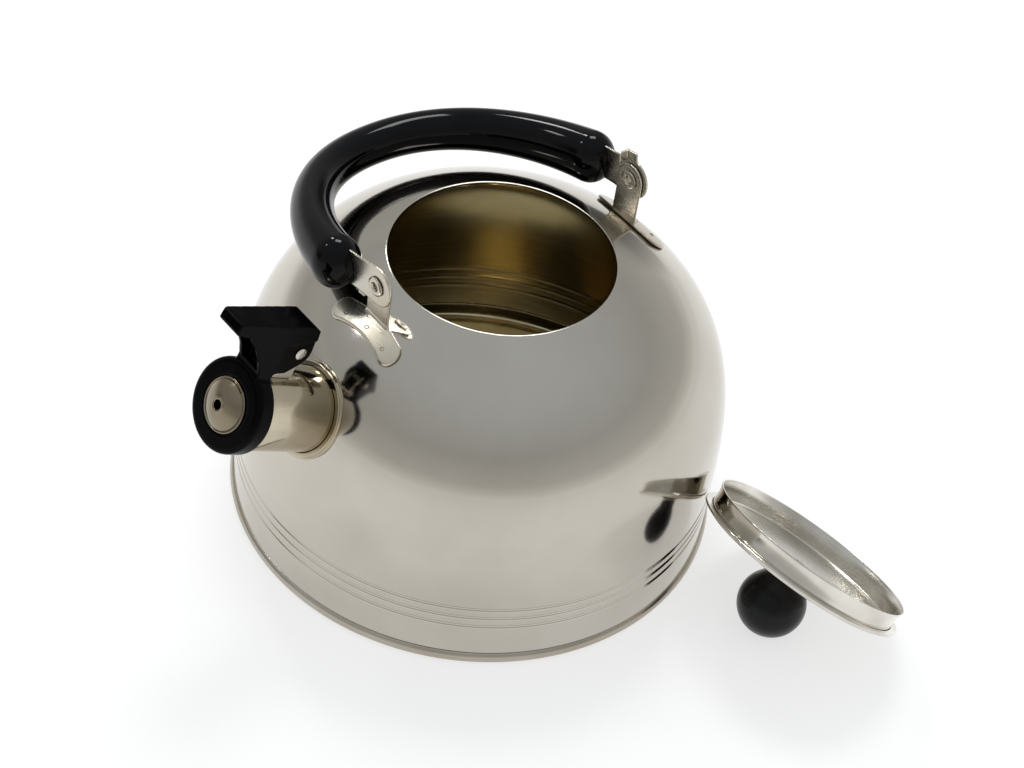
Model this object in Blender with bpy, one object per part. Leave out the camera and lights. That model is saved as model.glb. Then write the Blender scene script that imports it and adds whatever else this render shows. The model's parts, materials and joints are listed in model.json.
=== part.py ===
"""Stovetop whistling kettle with a swinging bail handle, a flip-up whistle cap and a lift-out lid.

Units are metres and +Z is up. The origin is on the kettle's axis, on the surface it stands on.
The spout points along -X. The handle is folded down towards +Y, on its stop.
The lid is taken out and leans beside the kettle, upside down on its knob and the edge of its rim.
"""

import math

import bmesh
import bpy
from mathutils import Matrix, Vector

# Clearances
GAP = 0.0003
RUNNING_GAP = 0.00012

# Body
SHEET = 0.0008
WAIST_RADIUS = 0.1081
WALL_FLARE = 0.0004
SHOULDER_HEIGHT = 0.0276
CROWN_HEIGHT = 0.1447
CROWN_FULLNESS = 1.8326
CROWN_SQUARENESS = 3.5655
MOUTH_RADIUS = 0.0485
LIP_WIDTH = 0.0022
LIP_THICKNESS = 0.0018
GROOVE_COUNT = 3
GROOVE_BASE = 0.0237
GROOVE_PITCH = 0.0053
GROOVE_DEPTH = 0.0006
GROOVE_WIDTH = 0.0026

# Base
RIM_HEIGHT = 0.0062
RIM_OVERHANG = 0.0015
RIM_CLEARANCE = 0.0006
PAN_LIP_HEIGHT = 0.0045
CORE_RADIUS = 0.082
CORE_THICKNESS = 0.0026
CAP_SHEET = 0.0008

# Spout
SPOUT_RISE_SHARE = 0.594
SPOUT_ELEVATION = math.radians(29.8)
SPOUT_LENGTH = 0.0393
TUBE_RADIUS = 0.0180
TUBE_END_RADIUS = 0.0169
TUBE_TAPER = 0.0034
SPOUT_HOLE_RADIUS = 0.0160
RING_RADIUS = 0.0209
RING_HEIGHT = 0.0023
SPOUT_ROOT = 0.0100

# Whistle cap
COLLAR_RADIUS = 0.01965
COLLAR_LENGTH = 0.0081
COLLAR_OVERLAP = 0.0029
COLLAR_FRONT = 0.0032
COLLAR_CLEARANCE = 0.0003
WHISTLE_RADIUS = 0.0115
WHISTLE_RISE = 0.0040
WHISTLE_HOLE_RADIUS = 0.0021
WHISTLE_SHEET = 0.0006
PIN_ABOVE_TUBE = 0.0136
PIN_BACK = 0.0109
PIN_RADIUS = 0.0014
PIN_HEAD_RADIUS = 0.0026
PIN_HEAD_HEIGHT = 0.0008
LEVER_REACH = 0.0262
LEVER_REAR = 0.0061
LEVER_HEIGHT = 0.0105
LEVER_REAR_HALF_WIDTH = 0.0083
LEVER_FRONT_HALF_WIDTH = 0.0063
LEVER_SLOPE = 0.0018
LEVER_PLATE = 0.0055
LEVER_WALL = 0.0019
LUG_SHEET = 0.0012
LUG_LENGTH = 0.0110
LUG_EYE_RADIUS = 0.0042
SPRING_WIRE = 0.0007
SPRING_TURNS = 4
SPRING_PITCH = 0.0013
SPRING_RADIUS = 0.0026

# Handle mounting
BRACKET_OFFSET = 0.0020
EAR_RADIUS = 0.0656
EAR_SHEET = 0.0012
EAR_RISE = 0.0208
EAR_WIDTH = 0.0146
EAR_TOP_RADIUS = 0.0074
FOOT_REACH = 0.0101
FOOT_DEPTH = 0.0084
FOOT_HALF_LENGTH = 0.0205
FOOT_LOBE_RADIUS = 0.0047
FOOT_SHEET = 0.0013
RIVET_RADIUS = 0.0026
RIVET_BORE_RADIUS = 0.0017
RIVET_HEAD_RADIUS = 0.0044
RIVET_HEAD_HEIGHT = 0.0008

# Handle
HANDLE_FOLD = math.radians(101.0)
STRAP_SHEET = 0.0012
STRAP_END_RADIUS = 0.0092
STRAP_HALF_WIDTH = 0.0080
STRAP_LENGTH = 0.0330
STOP_LENGTH = 0.0045
STOP_WIDTH = 0.0040
UPRIGHT_STOP_REACH = 0.0128
UPRIGHT_STOP_LENGTH = 0.0045
UPRIGHT_STOP_BACK = 0.0025
UPRIGHT_STOP_FRONT = 0.0045
UPRIGHT_STOP_ROOM = 0.0003
GRIP_HALF_SPAN = 0.0700
GRIP_RISE = 0.0950
GRIP_START = 0.0160
GRIP_FULLNESS = 2.125
GRIP_MIDDLE_THICKNESS = 0.0172
GRIP_MIDDLE_WIDTH = 0.0185
GRIP_END_THICKNESS = 0.0228
GRIP_END_WIDTH = 0.0255
GRIP_ROUNDING = 0.0090

# Lid
LID_MOUTH_CLEARANCE = 0.0005
LID_RIM_OVERHANG = 0.0020
LID_SHEET = 0.0007
LID_SKIRT = 0.0086
LID_SKIRT_WAIST = 0.0010
LID_FLOOR_RISE = 0.0012
LID_RISE = 0.0046
KNOB_RADIUS = 0.0153
KNOB_CENTRE_HEIGHT = 0.0226
KNOB_FOOT_RADIUS = 0.0098
KNOB_PLATE_RADIUS = 0.0115
KNOB_PLATE_THICKNESS = 0.0008
SCREW_RADIUS = 0.0020
SCREW_HEAD_RADIUS = 0.0040
SCREW_HEAD_HEIGHT = 0.0018
SCREW_DEPTH = 0.0110
LID_BEARING = math.radians(-62.8)
LID_HEADING = math.radians(3.3)
LID_FLOOR_GAP = 0.0001

# Facets
BODY_SEGMENTS = 56
CROWN_STEPS = 13
ROUND_SEGMENTS = 32
SMALL_SEGMENTS = 20


def clear_scene():
    for item in list(bpy.data.objects):
        bpy.data.objects.remove(item, do_unlink=True)


def make_material(name, colour, roughness, metallic):
    material = bpy.data.materials.new(name)
    material.use_nodes = True
    shader = material.node_tree.nodes["Principled BSDF"]
    shader.inputs["Base Color"].default_value = (*colour, 1.0)
    shader.inputs["Roughness"].default_value = roughness
    shader.inputs["Metallic"].default_value = metallic
    material.diffuse_color = (*colour, 1.0)
    return material


def make_materials():
    return {
        "mirror_steel": make_material("polished_stainless_steel", (0.60, 0.58, 0.55), 0.10, 1.0),
        "spout_steel": make_material("drawn_stainless_steel", (0.62, 0.59, 0.53), 0.18, 1.0),
        "bracket_steel": make_material("stamped_stainless_steel", (0.64, 0.61, 0.56), 0.28, 1.0),
        "base_steel": make_material("brushed_stainless_steel", (0.55, 0.53, 0.50), 0.32, 1.0),
        "aluminium": make_material("cast_aluminium", (0.70, 0.70, 0.70), 0.50, 1.0),
        "spring_steel": make_material("spring_wire", (0.42, 0.42, 0.43), 0.35, 1.0),
        "bakelite": make_material("black_bakelite", (0.012, 0.012, 0.013), 0.16, 0.0),
        "cap_plastic": make_material("black_moulded_plastic", (0.016, 0.016, 0.017), 0.30, 0.0),
    }


def make_empty(name, location, rotation=(0.0, 0.0, 0.0), parent=None):
    empty = bpy.data.objects.new(name, None)
    empty.empty_display_size = 0.01
    empty.location = location
    empty.rotation_euler = rotation
    empty.parent = parent
    bpy.context.collection.objects.link(empty)
    return empty


def make_object(name, shape, material, parent=None):
    mesh = bpy.data.meshes.new(name)
    shape.to_mesh(mesh)
    shape.free()
    mesh.shade_smooth()
    mesh.set_sharp_from_angle(angle=math.radians(35))
    part = bpy.data.objects.new(name, mesh)
    part.parent = parent
    if material is not None:
        mesh.materials.append(material)
    bpy.context.collection.objects.link(part)
    return part


def make_cutter(name, shape, parent=None):
    cutter = make_object(name, shape, None, parent)
    cutter.hide_render = True
    cutter.display_type = "WIRE"
    return cutter


def add_boolean(part, other, operation):
    modifier = part.modifiers.new(other.name, "BOOLEAN")
    modifier.object = other
    modifier.operation = operation
    modifier.solver = "EXACT"
    return modifier


def turned(profile, segments):
    """Spin a closed profile of (radius, height) points about Z."""
    shape = bmesh.new()
    verts = [shape.verts.new((radius, 0.0, height)) for radius, height in profile]
    pairs = zip(verts, verts[1:] + verts[:1])
    edges = [shape.edges.new(pair) for pair in pairs if max(pair[0].co.x, pair[1].co.x) > 0.0]
    bmesh.ops.spin(
        shape,
        geom=verts + edges,
        cent=(0.0, 0.0, 0.0),
        axis=(0.0, 0.0, 1.0),
        angle=2.0 * math.pi,
        steps=segments,
        use_merge=True,
    )
    bmesh.ops.remove_doubles(shape, verts=shape.verts[:], dist=1e-6)
    bmesh.ops.recalc_face_normals(shape, faces=shape.faces[:])
    return shape


def lofted(rings):
    """Join rings of equal length into one closed body with flat ends."""
    shape = bmesh.new()
    loops = [[shape.verts.new(point) for point in ring] for ring in rings]
    count = len(loops[0])
    for lower, upper in zip(loops, loops[1:]):
        for index in range(count):
            following = (index + 1) % count
            shape.faces.new((lower[index], lower[following], upper[following], upper[index]))
    shape.faces.new(loops[0][::-1])
    shape.faces.new(loops[-1])
    bmesh.ops.recalc_face_normals(shape, faces=shape.faces[:])
    return shape


def extruded(outline, place, low, high):
    """Extrude a closed outline between two depths; place(u, v, depth) gives each point."""
    ends = [[place(u, v, depth) for u, v in outline] for depth in (low, high)]
    return lofted(ends)


def box(low, high):
    outline = [(low[0], low[1]), (high[0], low[1]), (high[0], high[1]), (low[0], high[1])]
    return extruded(outline, lambda u, v, depth: (u, v, depth), low[2], high[2])


def arc(centre, radius, start, end, steps):
    points = []
    for index in range(steps + 1):
        angle = start + (end - start) * index / steps
        points.append((centre[0] + radius * math.cos(angle), centre[1] + radius * math.sin(angle)))
    return points


def along_x(shape, start=0.0):
    """Turn a shape made about Z so that its axis runs along X."""
    turn = Matrix.Translation((start, 0.0, 0.0)) @ Matrix.Rotation(math.pi / 2, 4, "Y")
    bmesh.ops.transform(shape, matrix=turn, verts=shape.verts[:])
    return shape


def along_y(shape):
    """Turn a shape made about Z so that its axis runs along Y."""
    bmesh.ops.transform(shape, matrix=Matrix.Rotation(-math.pi / 2, 4, "X"), verts=shape.verts[:])
    return shape


def offset_line(points, distance):
    """Move an open line sideways, to the right of its direction."""
    moved = []
    last = len(points) - 1
    for index, (radius, height) in enumerate(points):
        before = Vector(points[max(index - 1, 0)])
        after = Vector(points[min(index + 1, last)])
        here = Vector((radius, height))
        normals = []
        for step in (here - before, after - here):
            if step.length > 0.0:
                step.normalize()
                normals.append(Vector((step.y, -step.x)))
        normal = sum(normals, Vector((0.0, 0.0))).normalized()
        stretch = 1.0 / max(normal.dot(normals[0]), 0.5)
        moved.append((radius + normal.x * distance * stretch, height + normal.y * distance * stretch))
    return moved


def crown_point(turn):
    """Point on the domed crown; turn is 0 at the shoulder and a quarter turn on the axis."""
    across = math.cos(turn) ** (2.0 / CROWN_FULLNESS)
    up = math.sin(turn) ** (2.0 / CROWN_SQUARENESS)
    return WAIST_RADIUS * across, SHOULDER_HEIGHT + (CROWN_HEIGHT - SHOULDER_HEIGHT) * up


def crown_turn_at_height(height):
    share = (height - SHOULDER_HEIGHT) / (CROWN_HEIGHT - SHOULDER_HEIGHT)
    share = min(max(share, 0.0), 1.0)
    return math.asin(share ** (CROWN_SQUARENESS / 2.0))


def crown_turn_at_radius(radius):
    return math.acos((radius / WAIST_RADIUS) ** (CROWN_FULLNESS / 2.0))


def body_radius_at(height):
    """Outer radius of the wall or crown at a height."""
    if height < SHOULDER_HEIGHT:
        share = (SHOULDER_HEIGHT - height) / (SHOULDER_HEIGHT - wall_bottom())
        return WAIST_RADIUS + WALL_FLARE * min(max(share, 0.0), 1.0)
    return crown_point(crown_turn_at_height(height))[0]


def crown_height_at(radius):
    return crown_point(crown_turn_at_radius(radius))[1]


def wall_bottom():
    return RIM_HEIGHT + RIM_CLEARANCE + GAP


def crown_line():
    mouth_turn = crown_turn_at_radius(MOUTH_RADIUS)
    return [crown_point(mouth_turn * step / CROWN_STEPS) for step in range(CROWN_STEPS + 1)]


def wall_line():
    """Outer line of the body from its lower edge to the mouth, with the pressed grooves."""
    line = [(WAIST_RADIUS + WALL_FLARE, wall_bottom())]
    for index in range(GROOVE_COUNT):
        middle = GROOVE_BASE + GROOVE_PITCH * index
        for height, depth in ((-0.5, 0.0), (0.0, GROOVE_DEPTH), (0.5, 0.0)):
            place = middle + height * GROOVE_WIDTH
            line.append((body_radius_at(place) - depth, place))
    crown = crown_line()
    return line + [point for point in crown if point[1] > line[-1][1] + GROOVE_WIDTH / 2]


def crown_solid(offset):
    """Filled solid inside the body's outer surface, grown by an offset."""
    line = [(WAIST_RADIUS + WALL_FLARE, wall_bottom())] + crown_line()
    mouth_turn = crown_turn_at_radius(MOUTH_RADIUS)
    steps = 4
    for step in range(1, steps):
        line.append(crown_point(mouth_turn + (math.pi / 2 - mouth_turn) * step / steps))
    grown = offset_line(line, offset)
    top = (0.0, CROWN_HEIGHT + offset)
    return turned([(0.0, wall_bottom())] + grown + [top], BODY_SEGMENTS)


def build_body_shell(materials, spout):
    outer = wall_line()
    inner = offset_line(outer, -SHEET)
    mouth_radius, mouth_height = outer[-1]
    lip = [
        (mouth_radius, mouth_height - LIP_THICKNESS),
        (mouth_radius + LIP_WIDTH, mouth_height - LIP_THICKNESS - LIP_WIDTH / 3),
    ]
    kept = [point for point in inner if point[0] > mouth_radius + LIP_WIDTH]
    kept[0] = (kept[0][0], outer[0][1])
    shell = make_object("body_shell", turned(outer + lip + kept[::-1], BODY_SEGMENTS), materials["mirror_steel"])
    drill_low = crown_reach(SPOUT_HOLE_RADIUS)[0] - SPOUT_ROOT
    drill_profile = [
        (0.0, drill_low),
        (SPOUT_HOLE_RADIUS, drill_low),
        (SPOUT_HOLE_RADIUS, SPOUT_LENGTH / 2),
        (0.0, SPOUT_LENGTH / 2),
    ]
    drill = make_cutter("spout_hole_cutter", turned(drill_profile, ROUND_SEGMENTS), spout)
    add_boolean(shell, drill, "DIFFERENCE")
    return shell


def base_levels():
    """Heights of the stack under the kettle: cap floor, core and pan floor."""
    core_bottom = CAP_SHEET + GAP
    core_top = core_bottom + CORE_THICKNESS
    pan_floor = core_top + GAP
    return core_bottom, core_top, pan_floor


def build_base(materials):
    core_bottom, core_top, pan_floor = base_levels()
    wall = WAIST_RADIUS + WALL_FLARE
    rim = wall + RIM_OVERHANG
    bead = RIM_HEIGHT / 2
    inside = wall - SHEET - GAP
    pan_top = pan_floor + SHEET
    pan = [(0.0, pan_floor), (inside - 0.006, pan_floor), (inside - 0.002, RIM_CLEARANCE)]
    pan += arc((rim - bead, RIM_CLEARANCE + bead), bead, -math.pi / 2, math.pi / 2, 6)
    pan += [
        (inside, RIM_CLEARANCE + RIM_HEIGHT),
        (inside, RIM_CLEARANCE + RIM_HEIGHT + PAN_LIP_HEIGHT),
        (inside - SHEET, RIM_CLEARANCE + RIM_HEIGHT + PAN_LIP_HEIGHT),
        (inside - SHEET - 0.0008, pan_top + 0.0015),
        (inside - SHEET - 0.0030, pan_top),
        (0.0, pan_top),
    ]
    make_object("base_pan", turned(pan, BODY_SEGMENTS), materials["base_steel"])
    core = [(0.0, core_bottom), (CORE_RADIUS, core_bottom), (CORE_RADIUS, core_top), (0.0, core_top)]
    make_object("base_core", turned(core, ROUND_SEGMENTS), materials["aluminium"])
    cup = CORE_RADIUS + GAP
    cap = [
        (0.0, 0.0),
        (cup + CAP_SHEET - 0.0008, 0.0),
        (cup + CAP_SHEET, 0.0008),
        (cup + CAP_SHEET, core_top),
        (cup, core_top),
        (cup, CAP_SHEET),
        (0.0, CAP_SHEET),
    ]
    make_object("base_cap", turned(cap, ROUND_SEGMENTS), materials["base_steel"])


def spout_exit():
    """Point on the crown where the spout's axis leaves it."""
    height = SHOULDER_HEIGHT + (CROWN_HEIGHT - SHOULDER_HEIGHT) * SPOUT_RISE_SHARE
    return Vector((-body_radius_at(height), 0.0, height))


def spout_frame():
    """Empty at the spout's exit: local Z along the spout, local X above it."""
    return make_empty("spout_frame", spout_exit(), (0.0, SPOUT_ELEVATION - math.pi / 2, 0.0))


def crown_reach(radius):
    """Least and greatest distance along the spout at which a circle about its axis meets the crown."""
    along = Vector((-math.cos(SPOUT_ELEVATION), 0.0, math.sin(SPOUT_ELEVATION)))
    above = Vector((math.sin(SPOUT_ELEVATION), 0.0, math.cos(SPOUT_ELEVATION)))
    reaches = []
    for index in range(24):
        angle = 2.0 * math.pi * index / 24
        start = spout_exit() + above * (radius * math.cos(angle))
        start.y = radius * math.sin(angle)
        low, high = -WAIST_RADIUS / 2, WAIST_RADIUS / 2
        for halving in range(30):
            middle = (low + high) / 2
            point = start + along * middle
            if math.hypot(point.x, point.y) < body_radius_at(point.z):
                low = middle
            else:
                high = middle
        reaches.append(low)
    return min(reaches), max(reaches)


def build_spout(materials, spout):
    root = crown_reach(RING_RADIUS)[0] - SPOUT_ROOT
    bore = TUBE_RADIUS - SHEET
    taper = SPOUT_LENGTH - TUBE_TAPER
    tube = [
        (TUBE_RADIUS, root),
        (TUBE_RADIUS, taper),
        (TUBE_END_RADIUS + 0.0002, SPOUT_LENGTH - 0.0004),
        (TUBE_END_RADIUS - 0.0003, SPOUT_LENGTH),
        (TUBE_END_RADIUS - SHEET, SPOUT_LENGTH - 0.0003),
        (bore, taper - 0.0008),
        (bore, root),
    ]
    tube_part = make_object("spout_tube", turned(tube, ROUND_SEGMENTS), materials["spout_steel"], spout)
    seat = make_cutter("spout_seat_cutter", crown_solid(GAP))
    add_boolean(tube_part, seat, "DIFFERENCE")
    inside = TUBE_RADIUS + GAP
    second = RING_RADIUS - 0.0008
    ring_front = crown_reach(RING_RADIUS)[1] + RING_HEIGHT
    ring = [
        (inside, root),
        (RING_RADIUS, root),
        (RING_RADIUS, ring_front - 0.0024),
        (RING_RADIUS - 0.0004, ring_front - 0.0018),
        (second - 0.0006, ring_front - 0.0015),
        (second, ring_front - 0.0011),
        (second, ring_front - 0.0006),
        (second - 0.0006, ring_front),
        (inside, ring_front),
    ]
    ring_part = make_object("spout_ring", turned(ring, ROUND_SEGMENTS), materials["spout_steel"], spout)
    add_boolean(ring_part, seat, "DIFFERENCE")


def pin_place():
    """Height above the spout's axis, and distance along it, of the cap's hinge pin."""
    return TUBE_RADIUS + PIN_ABOVE_TUBE, SPOUT_LENGTH - PIN_BACK


def lug_half_width():
    return (SPRING_TURNS + 0.25) * SPRING_PITCH / 2 + SPRING_WIRE / 2 + GAP + LUG_SHEET


def in_spout_side(u, v, depth):
    """Side-view point: u along the spout, v above its axis."""
    return v, depth, u


def build_lug(materials, spout):
    pin_height, pin_along = pin_place()
    half = lug_half_width()
    foot = TUBE_RADIUS - 0.002
    low = pin_along - LUG_LENGTH / 2
    high = pin_along + LUG_LENGTH / 2
    shelf = TUBE_RADIUS + GAP + LUG_SHEET
    outline = [(high, foot), (high, shelf)]
    outline += arc((pin_along, pin_height), LUG_EYE_RADIUS, math.radians(-10), math.radians(190), 8)
    outline += [(low, shelf), (low, foot)]
    lug = make_object("cap_lug", extruded(outline, in_spout_side, -half, half), materials["bracket_steel"], spout)
    slot = box((shelf, -half + LUG_SHEET, low - 0.002), (pin_height + 0.01, half - LUG_SHEET, high + 0.002))
    add_boolean(lug, make_cutter("lug_slot_cutter", slot, spout), "DIFFERENCE")
    saddle = [
        (0.0, low - 0.002),
        (TUBE_RADIUS + GAP, low - 0.002),
        (TUBE_RADIUS + GAP, high + 0.002),
        (0.0, high + 0.002),
    ]
    add_boolean(lug, make_cutter("lug_saddle_cutter", turned(saddle, ROUND_SEGMENTS), spout), "DIFFERENCE")
    add_boolean(lug, pin_drill("lug_pin_cutter", spout), "DIFFERENCE")


def pin_drill(name, spout):
    pin_height, pin_along = pin_place()
    radius = PIN_RADIUS + RUNNING_GAP
    reach = LEVER_REAR_HALF_WIDTH + 0.002
    drill = along_y(turned([(0.0, -reach), (radius, -reach), (radius, reach), (0.0, reach)], SMALL_SEGMENTS))
    bmesh.ops.translate(drill, verts=drill.verts[:], vec=(pin_height, 0.0, pin_along))
    return make_cutter(name, drill, spout)


def build_hinge_pin(materials, hinge):
    shank = LEVER_REAR_HALF_WIDTH + GAP
    head = shank + PIN_HEAD_HEIGHT
    profile = [
        (0.0, -head),
        (PIN_HEAD_RADIUS * 0.7, -head),
        (PIN_HEAD_RADIUS, -shank - PIN_HEAD_HEIGHT * 0.4),
        (PIN_HEAD_RADIUS, -shank),
        (PIN_RADIUS, -shank),
        (PIN_RADIUS, shank),
        (PIN_HEAD_RADIUS, shank),
        (PIN_HEAD_RADIUS, shank + PIN_HEAD_HEIGHT * 0.4),
        (PIN_HEAD_RADIUS * 0.7, head),
        (0.0, head),
    ]
    make_object("hinge_pin", along_y(turned(profile, SMALL_SEGMENTS)), materials["bracket_steel"], hinge)


def spring_route():
    """Centre line of the torsion spring about the hinge pin, in hinge axes.

    The rear leg stands on the lug's shelf and the front leg reaches up under the lever's plate.
    """
    points_per_turn = 12
    quarter = points_per_turn // 4
    steps = SPRING_TURNS * points_per_turn + quarter
    width = steps * SPRING_PITCH / points_per_turn
    coil = []
    for step in range(steps + 1):
        angle = math.pi / 2 + 2.0 * math.pi * step / points_per_turn
        offset = -width / 2 + width * step / steps
        coil.append(Vector((-SPRING_RADIUS * math.cos(angle), offset, -SPRING_RADIUS * math.sin(angle))))
    shelf = pin_place()[0] - (TUBE_RADIUS + 2 * GAP + LUG_SHEET + SPRING_WIRE / 2)
    rise = LEVER_HEIGHT + LEVER_SLOPE - LEVER_PLATE - GAP - SPRING_WIRE
    foot = Vector((-shelf, coil[0].y, coil[0].z - 0.0003))
    tip = Vector((rise, coil[-1].y, SPRING_RADIUS * 2.4))
    return [foot, foot.lerp(coil[0], 0.6)] + coil + [coil[-1].lerp(tip, 0.35) - Vector((0.0006, 0.0, 0.0)), tip]


def least_turn_gap(route, points_per_turn=12):
    """Least space between the wire and its own next turn."""
    least = min(
        (route[a] - route[b]).length
        for a in range(len(route))
        for b in range(a + points_per_turn - 3, len(route))
    )
    return least - SPRING_WIRE


def build_spring(materials, hinge):
    route = spring_route()
    print("least gap between spring turns, mm:", round(least_turn_gap(route) * 1000, 3))
    curve = bpy.data.curves.new("cap_spring", "CURVE")
    curve.dimensions = "3D"
    curve.bevel_depth = SPRING_WIRE / 2
    curve.bevel_resolution = 1
    curve.use_fill_caps = True
    curve.materials.append(materials["spring_steel"])
    spline = curve.splines.new("POLY")
    spline.points.add(len(route) - 1)
    for point, place in zip(spline.points, route):
        point.co = (*place, 1.0)
    spring = bpy.data.objects.new("cap_spring", curve)
    spring.parent = hinge
    bpy.context.collection.objects.link(spring)


def lever_half_width(along):
    """The lever narrows from its hinge to its front edge."""
    pin_along = pin_place()[1]
    start = pin_along - LEVER_REAR
    end = SPOUT_LENGTH + LEVER_REACH
    share = min(max((along - start) / (end - start), 0.0), 1.0)
    return LEVER_REAR_HALF_WIDTH + (LEVER_FRONT_HALF_WIDTH - LEVER_REAR_HALF_WIDTH) * share


def collar_ends():
    rear = SPOUT_LENGTH - COLLAR_OVERLAP
    return rear, rear + COLLAR_LENGTH


def build_cap_lever(materials, spout, hinge):
    pin_height, pin_along = pin_place()
    rear, front = collar_ends()
    tip = SPOUT_LENGTH + LEVER_REACH
    back = pin_along - LEVER_REAR
    top = TUBE_RADIUS + PIN_ABOVE_TUBE + LEVER_HEIGHT + LEVER_SLOPE
    under = top - LEVER_PLATE
    neck = TUBE_RADIUS - 0.001
    outline = [
        (rear + 0.0002, neck),
        (front - 0.0004, neck),
        (front - 0.0004, TUBE_RADIUS + 0.0025),
        (front + 0.0025, TUBE_RADIUS + 0.0075),
        (front + 0.0078, TUBE_RADIUS + 0.0135),
        (front + 0.0135, under - 0.0022),
        (tip, under - 0.0018),
        (tip - 0.0002, top - LEVER_SLOPE),
        (back + 0.0041, top),
        (back + 0.0022, top - 0.0008),
        (back + 0.0014, under + 0.0012),
        (back, pin_height + 0.0010),
        (back + 0.0003, pin_height - 0.0022),
        (pin_along - 0.0035, pin_height - 0.0052),
        (pin_along + 0.0024, TUBE_RADIUS + 0.0036),
        (rear + 0.0002, TUBE_RADIUS + 0.0030),
    ]

    def place(u, v, side):
        return v - pin_height, side * lever_half_width(u), u - pin_along

    bore = TUBE_RADIUS + COLLAR_CLEARANCE
    body = extruded(outline, place, -1.0, 1.0)
    lever = make_object("cap_lever", body, materials["cap_plastic"], hinge)
    soften = lever.modifiers.new("soft_edges", "BEVEL")
    soften.width = 0.0006
    soften.segments = 1
    soften.limit_method = "ANGLE"
    soften.angle_limit = math.radians(50)
    ring = [
        (WHISTLE_RADIUS + GAP, rear),
        (COLLAR_RADIUS - 0.0004, rear),
        (COLLAR_RADIUS, rear + 0.0004),
        (COLLAR_RADIUS, front - 0.0017),
        (COLLAR_RADIUS - 0.0005, front - 0.0006),
        (COLLAR_RADIUS - 0.0017, front),
        (WHISTLE_RADIUS + GAP, front),
    ]
    add_boolean(lever, make_cutter("collar_guide", turned(ring, ROUND_SEGMENTS), spout), "UNION")
    wall = LEVER_WALL
    inner_half = lug_half_width() + 2 * GAP
    web_back = rear + 0.0024
    pocket = box((0.0, -inner_half, back - 0.004), (under + 0.0006, inner_half, web_back))
    add_boolean(lever, make_cutter("lever_pocket_cutter", pocket, spout), "DIFFERENCE")
    recess_half = LEVER_FRONT_HALF_WIDTH - wall * 0.6
    recess = box((TUBE_RADIUS + 0.0030, -recess_half, web_back + wall), (under, recess_half, tip - 0.006))
    add_boolean(lever, make_cutter("lever_recess_cutter", recess, spout), "DIFFERENCE")
    socket = [
        (0.0, rear - 0.012),
        (bore, rear - 0.012),
        (bore, front - COLLAR_FRONT),
        (0.0, front - COLLAR_FRONT),
    ]
    add_boolean(lever, make_cutter("collar_socket_cutter", turned(socket, ROUND_SEGMENTS), spout), "DIFFERENCE")
    add_boolean(lever, pin_drill("lever_pin_cutter", spout), "DIFFERENCE")


def build_whistle(materials, hinge):
    """Two drilled discs, domed outer and flat inner, held in the cap's collar."""
    pin_height, pin_along = pin_place()
    front = collar_ends()[1]
    back = front - COLLAR_FRONT - GAP
    sheet = WHISTLE_SHEET
    hole = WHISTLE_HOLE_RADIUS

    def dome(radius, lift):
        share = (radius / WHISTLE_RADIUS) ** 2
        return radius, front + lift + WHISTLE_RISE * (1.0 - share)

    outer_radii = [WHISTLE_RADIUS, WHISTLE_RADIUS * 0.8, WHISTLE_RADIUS * 0.55, hole + 0.0009]
    outer = [dome(radius, 0.0) for radius in outer_radii]
    inner = [dome(radius, -sheet) for radius in outer_radii[1:]]
    flange = WHISTLE_RADIUS + 0.0018
    profile = [(WHISTLE_RADIUS, back)] + outer
    profile += [(hole + 0.0007, front + WHISTLE_RISE + 0.0002), (hole, front + WHISTLE_RISE)]
    profile += [(hole, front + WHISTLE_RISE - sheet - 0.0004)]
    profile += inner[::-1]
    profile += [(WHISTLE_RADIUS - sheet, front - 0.0004), (WHISTLE_RADIUS - sheet, back - sheet)]
    profile += [(flange, back - sheet), (flange, back)]
    shape = turned(profile, ROUND_SEGMENTS)
    bmesh.ops.translate(shape, verts=shape.verts[:], vec=(-pin_height, 0.0, -pin_along))
    make_object("whistle_dome", shape, materials["spout_steel"], hinge)
    rim = WHISTLE_RADIUS - sheet - GAP
    low = back - sheet
    disc = [
        (hole * 0.8, low + 0.0006),
        (rim - 0.0006, low + 0.0006),
        (rim - 0.0006, low - 0.0006),
        (rim, low - 0.0006),
        (rim, low + 0.0006 + sheet),
        (hole * 0.8, low + 0.0006 + sheet),
    ]
    shape = turned(disc, ROUND_SEGMENTS)
    bmesh.ops.translate(shape, verts=shape.verts[:], vec=(-pin_height, 0.0, -pin_along))
    make_object("whistle_disc", shape, materials["spout_steel"], hinge)


def swing_height():
    return crown_height_at(EAR_RADIUS + EAR_SHEET / 2) + EAR_RISE


def foot_outline():
    """Half a kidney: straight fold edge inboard, round lobe, hollow outboard edge; (outward, sideways)."""
    inner = EAR_RADIUS
    lobe = (inner + FOOT_REACH - FOOT_LOBE_RADIUS + 0.0006, FOOT_HALF_LENGTH - FOOT_LOBE_RADIUS)
    half = [(inner, EAR_WIDTH / 2)]
    half += arc(lobe, FOOT_LOBE_RADIUS, math.radians(165), math.radians(-30), 9)
    half += [(inner + FOOT_DEPTH + 0.0006, FOOT_HALF_LENGTH * 0.36), (inner + FOOT_DEPTH, 0.0)]
    mirrored = [(u, -v) for u, v in half[:-1]]
    return half + mirrored[::-1]


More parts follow.
